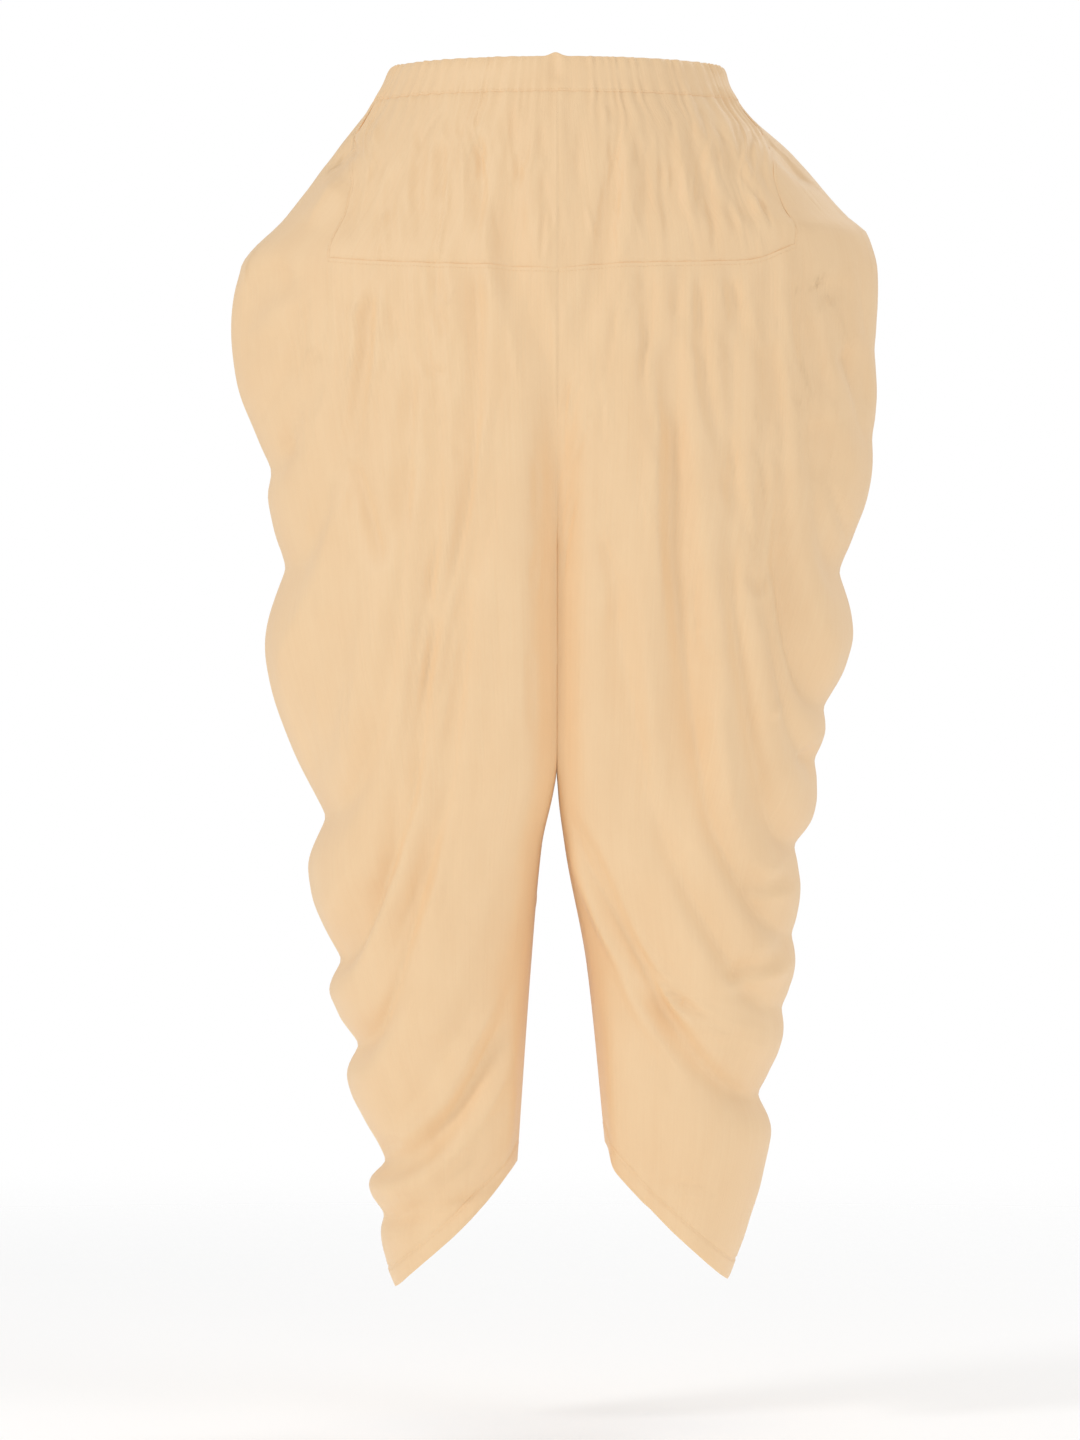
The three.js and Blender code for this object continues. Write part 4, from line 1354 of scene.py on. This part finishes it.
class SALWAR_OT_casing(bpy.types.Operator):
    """Add the gathered waist casing"""

    bl_idname = "salwar.casing"
    bl_label = "Waist Casing"

    def execute(self, context):
        doubled = context.scene.salwar_cloth.doubled
        garment_piece("waist_casing", casing_cloth(), doubled, cloth_of(context))
        return {"FINISHED"}


class SALWAR_OT_yokes(bpy.types.Operator):
    """Add the front and back yokes under the casing"""

    bl_idname = "salwar.yokes"
    bl_label = "Yokes"

    def execute(self, context):
        thickness = context.scene.salwar_cloth.thickness
        cloths = {f"yoke_front_{leg.name}": yoke_front_cloth(leg) for leg in LEGS}
        cloths["yoke_back"] = yoke_back_cloth()
        for name, cloth in cloths.items():
            garment_piece(name, cloth, thickness, cloth_of(context))
        return {"FINISHED"}


class SALWAR_OT_legs(bpy.types.Operator):
    """Add the two legs with their cowl folds"""

    bl_idname = "salwar.legs"
    bl_label = "Legs"

    def execute(self, context):
        thickness = context.scene.salwar_cloth.thickness
        for leg in LEGS:
            name = f"leg_{leg.name}"
            garment_piece(name, leg_cloth(leg), thickness, cloth_of(context))
        return {"FINISHED"}


class SALWAR_OT_hems(bpy.types.Operator):
    """Add the turned hems"""

    bl_idname = "salwar.hems"
    bl_label = "Hems"

    def execute(self, context):
        doubled = context.scene.salwar_cloth.doubled
        for leg in LEGS:
            garment_piece(
                f"hem_{leg.name}", hem_cloth(leg), doubled, cloth_of(context),
            )
        return {"FINISHED"}


class SALWAR_OT_stitching(bpy.types.Operator):
    """Add the stitches along the casing, the yoke seams and the hems"""

    bl_idname = "salwar.stitching"
    bl_label = "Stitching"

    def execute(self, context):
        settings = context.scene.salwar_cloth
        thread = thread_material(settings)
        for name, (cloth, row) in STITCH_ROWS.items():
            line = CLOTHS[cloth].line(row, settings.stitch_pitch)
            stitch_piece(name, line, settings.stitch_length, thread)
        return {"FINISHED"}


def area_light(name, power, size, place, aim):
    """A soft round light at a place, turned to the point that it aims at."""
    light = bpy.data.lights.new(name, "AREA")
    light.shape = "DISK"
    light.size = size
    light.energy = power
    holder = bpy.data.objects.new(name, light)
    holder.location = place
    holder.rotation_euler = (Vector(aim) - Vector(place)).to_track_quat("-Z", "Y").to_euler()
    bpy.context.collection.objects.link(holder)


# The height of the camera's picture plane, in millimetres
SENSOR_HEIGHT = 36.0

# Each light's width, place and aim, in metres
KEY_LIGHT = (1.0, (-2.6, -2.1, 1.2), (0, 0, -0.45))
FILL_LIGHT = (1.8, (2.6, -2.3, 0.6), (0, 0, -0.5))
BACK_LIGHT = (1.7, (2.0, 2.4, 1.9), (0, 0, -0.5))

# The floor is pale, glows a little and thins out between two distances from its middle
FLOOR_COLOUR = (0.95, 0.95, 0.95)
FLOOR_SIZE = 4.0
FLOOR_CELLS = 24
FLOOR_GLOW = 0.2
FLOOR_FADE = (1.3, 3.4)
SKY_COLOUR = (1.0, 1.0, 1.0, 1.0)


def add_camera(context, settings):
    """The camera in front of the garment, level with the point that it aims at."""
    camera = bpy.data.cameras.new("camera")
    camera.sensor_fit = "VERTICAL"
    camera.sensor_height = SENSOR_HEIGHT
    camera.lens = SENSOR_HEIGHT * settings.distance / settings.view_height
    holder = bpy.data.objects.new("camera", camera)
    holder.location = Vector(settings.aim) + Vector((0, -settings.distance, 0))
    holder.rotation_euler = (math.pi / 2, 0, 0)
    context.collection.objects.link(holder)
    context.scene.camera = holder


def add_floor(context, settings):
    """The floor under the garment."""
    mesh = bmesh.new()
    bmesh.ops.create_grid(mesh, x_segments=FLOOR_CELLS, y_segments=FLOOR_CELLS, size=FLOOR_SIZE)
    for vertex in mesh.verts:
        vertex.co.z = settings.floor_height
    data = bpy.data.meshes.new("floor")
    mesh.to_mesh(data)
    mesh.free()
    data.materials.append(floor_material(FLOOR_COLOUR))
    floor = bpy.data.objects.new("floor", data)
    context.collection.objects.link(floor)


def add_sky(context, settings):
    """Light from all round, white where the camera looks straight at it."""
    world = bpy.data.worlds.new("studio")
    context.scene.world = world
    world.use_nodes = True
    nodes, links = world.node_tree.nodes, world.node_tree.links
    sky = nodes["Background"]
    sky.inputs["Color"].default_value = SKY_COLOUR
    seen = nodes.new("ShaderNodeLightPath")
    strength = nodes.new("ShaderNodeMapRange")
    strength.inputs["To Min"].default_value = settings.sky
    links.new(seen.outputs["Is Camera Ray"], strength.inputs["Value"])
    links.new(strength.outputs["Result"], sky.inputs["Strength"])


class SALWAR_OT_stage(bpy.types.Operator):
    """Add the camera, the soft studio light and the floor"""

    bl_idname = "salwar.stage"
    bl_label = "Stage"

    def execute(self, context):
        settings = context.scene.salwar_stage
        add_camera(context, settings)
        area_light("key_light", settings.key_power, *KEY_LIGHT)
        area_light("fill_light", settings.fill_power, *FILL_LIGHT)
        area_light("back_light", settings.back_power, *BACK_LIGHT)
        add_floor(context, settings)
        add_sky(context, settings)
        context.scene.view_settings.view_transform = "Standard"
        return {"FINISHED"}


class SALWAR_PT_panel(bpy.types.Panel):
    """The salwar's pieces and settings in the sidebar"""

    bl_idname = "SALWAR_PT_panel"
    bl_label = "Salwar"
    bl_space_type = "VIEW_3D"
    bl_region_type = "UI"
    bl_category = "Salwar"

    def draw(self, context):
        for settings in (context.scene.salwar_cloth, context.scene.salwar_stage):
            box = self.layout.box()
            for name in settings.__annotations__:
                box.prop(settings, name)
        for operator in OPERATORS:
            self.layout.operator(operator.bl_idname)


OPERATORS = (
    SALWAR_OT_casing, SALWAR_OT_yokes, SALWAR_OT_legs, SALWAR_OT_hems, SALWAR_OT_stitching,
    SALWAR_OT_stage,
)
CLASSES = (ClothSettings, StageSettings, *OPERATORS, SALWAR_PT_panel)


def register():
    """Make the settings, the operators and the panel known."""
    for part in CLASSES:
        bpy.utils.register_class(part)
    bpy.types.Scene.salwar_cloth = bpy.props.PointerProperty(type=ClothSettings)
    bpy.types.Scene.salwar_stage = bpy.props.PointerProperty(type=StageSettings)


def unregister():
    """Take them all away again."""
    del bpy.types.Scene.salwar_stage
    del bpy.types.Scene.salwar_cloth
    for part in reversed(CLASSES):
        bpy.utils.unregister_class(part)


def main():
    """Build the whole garment on its stage."""
    register()
    bpy.ops.salwar.stage()
    bpy.ops.salwar.casing()
    bpy.ops.salwar.yokes()
    bpy.ops.salwar.legs()
    bpy.ops.salwar.hems()
    bpy.ops.salwar.stitching()


if __name__ == "__main__":
    main()
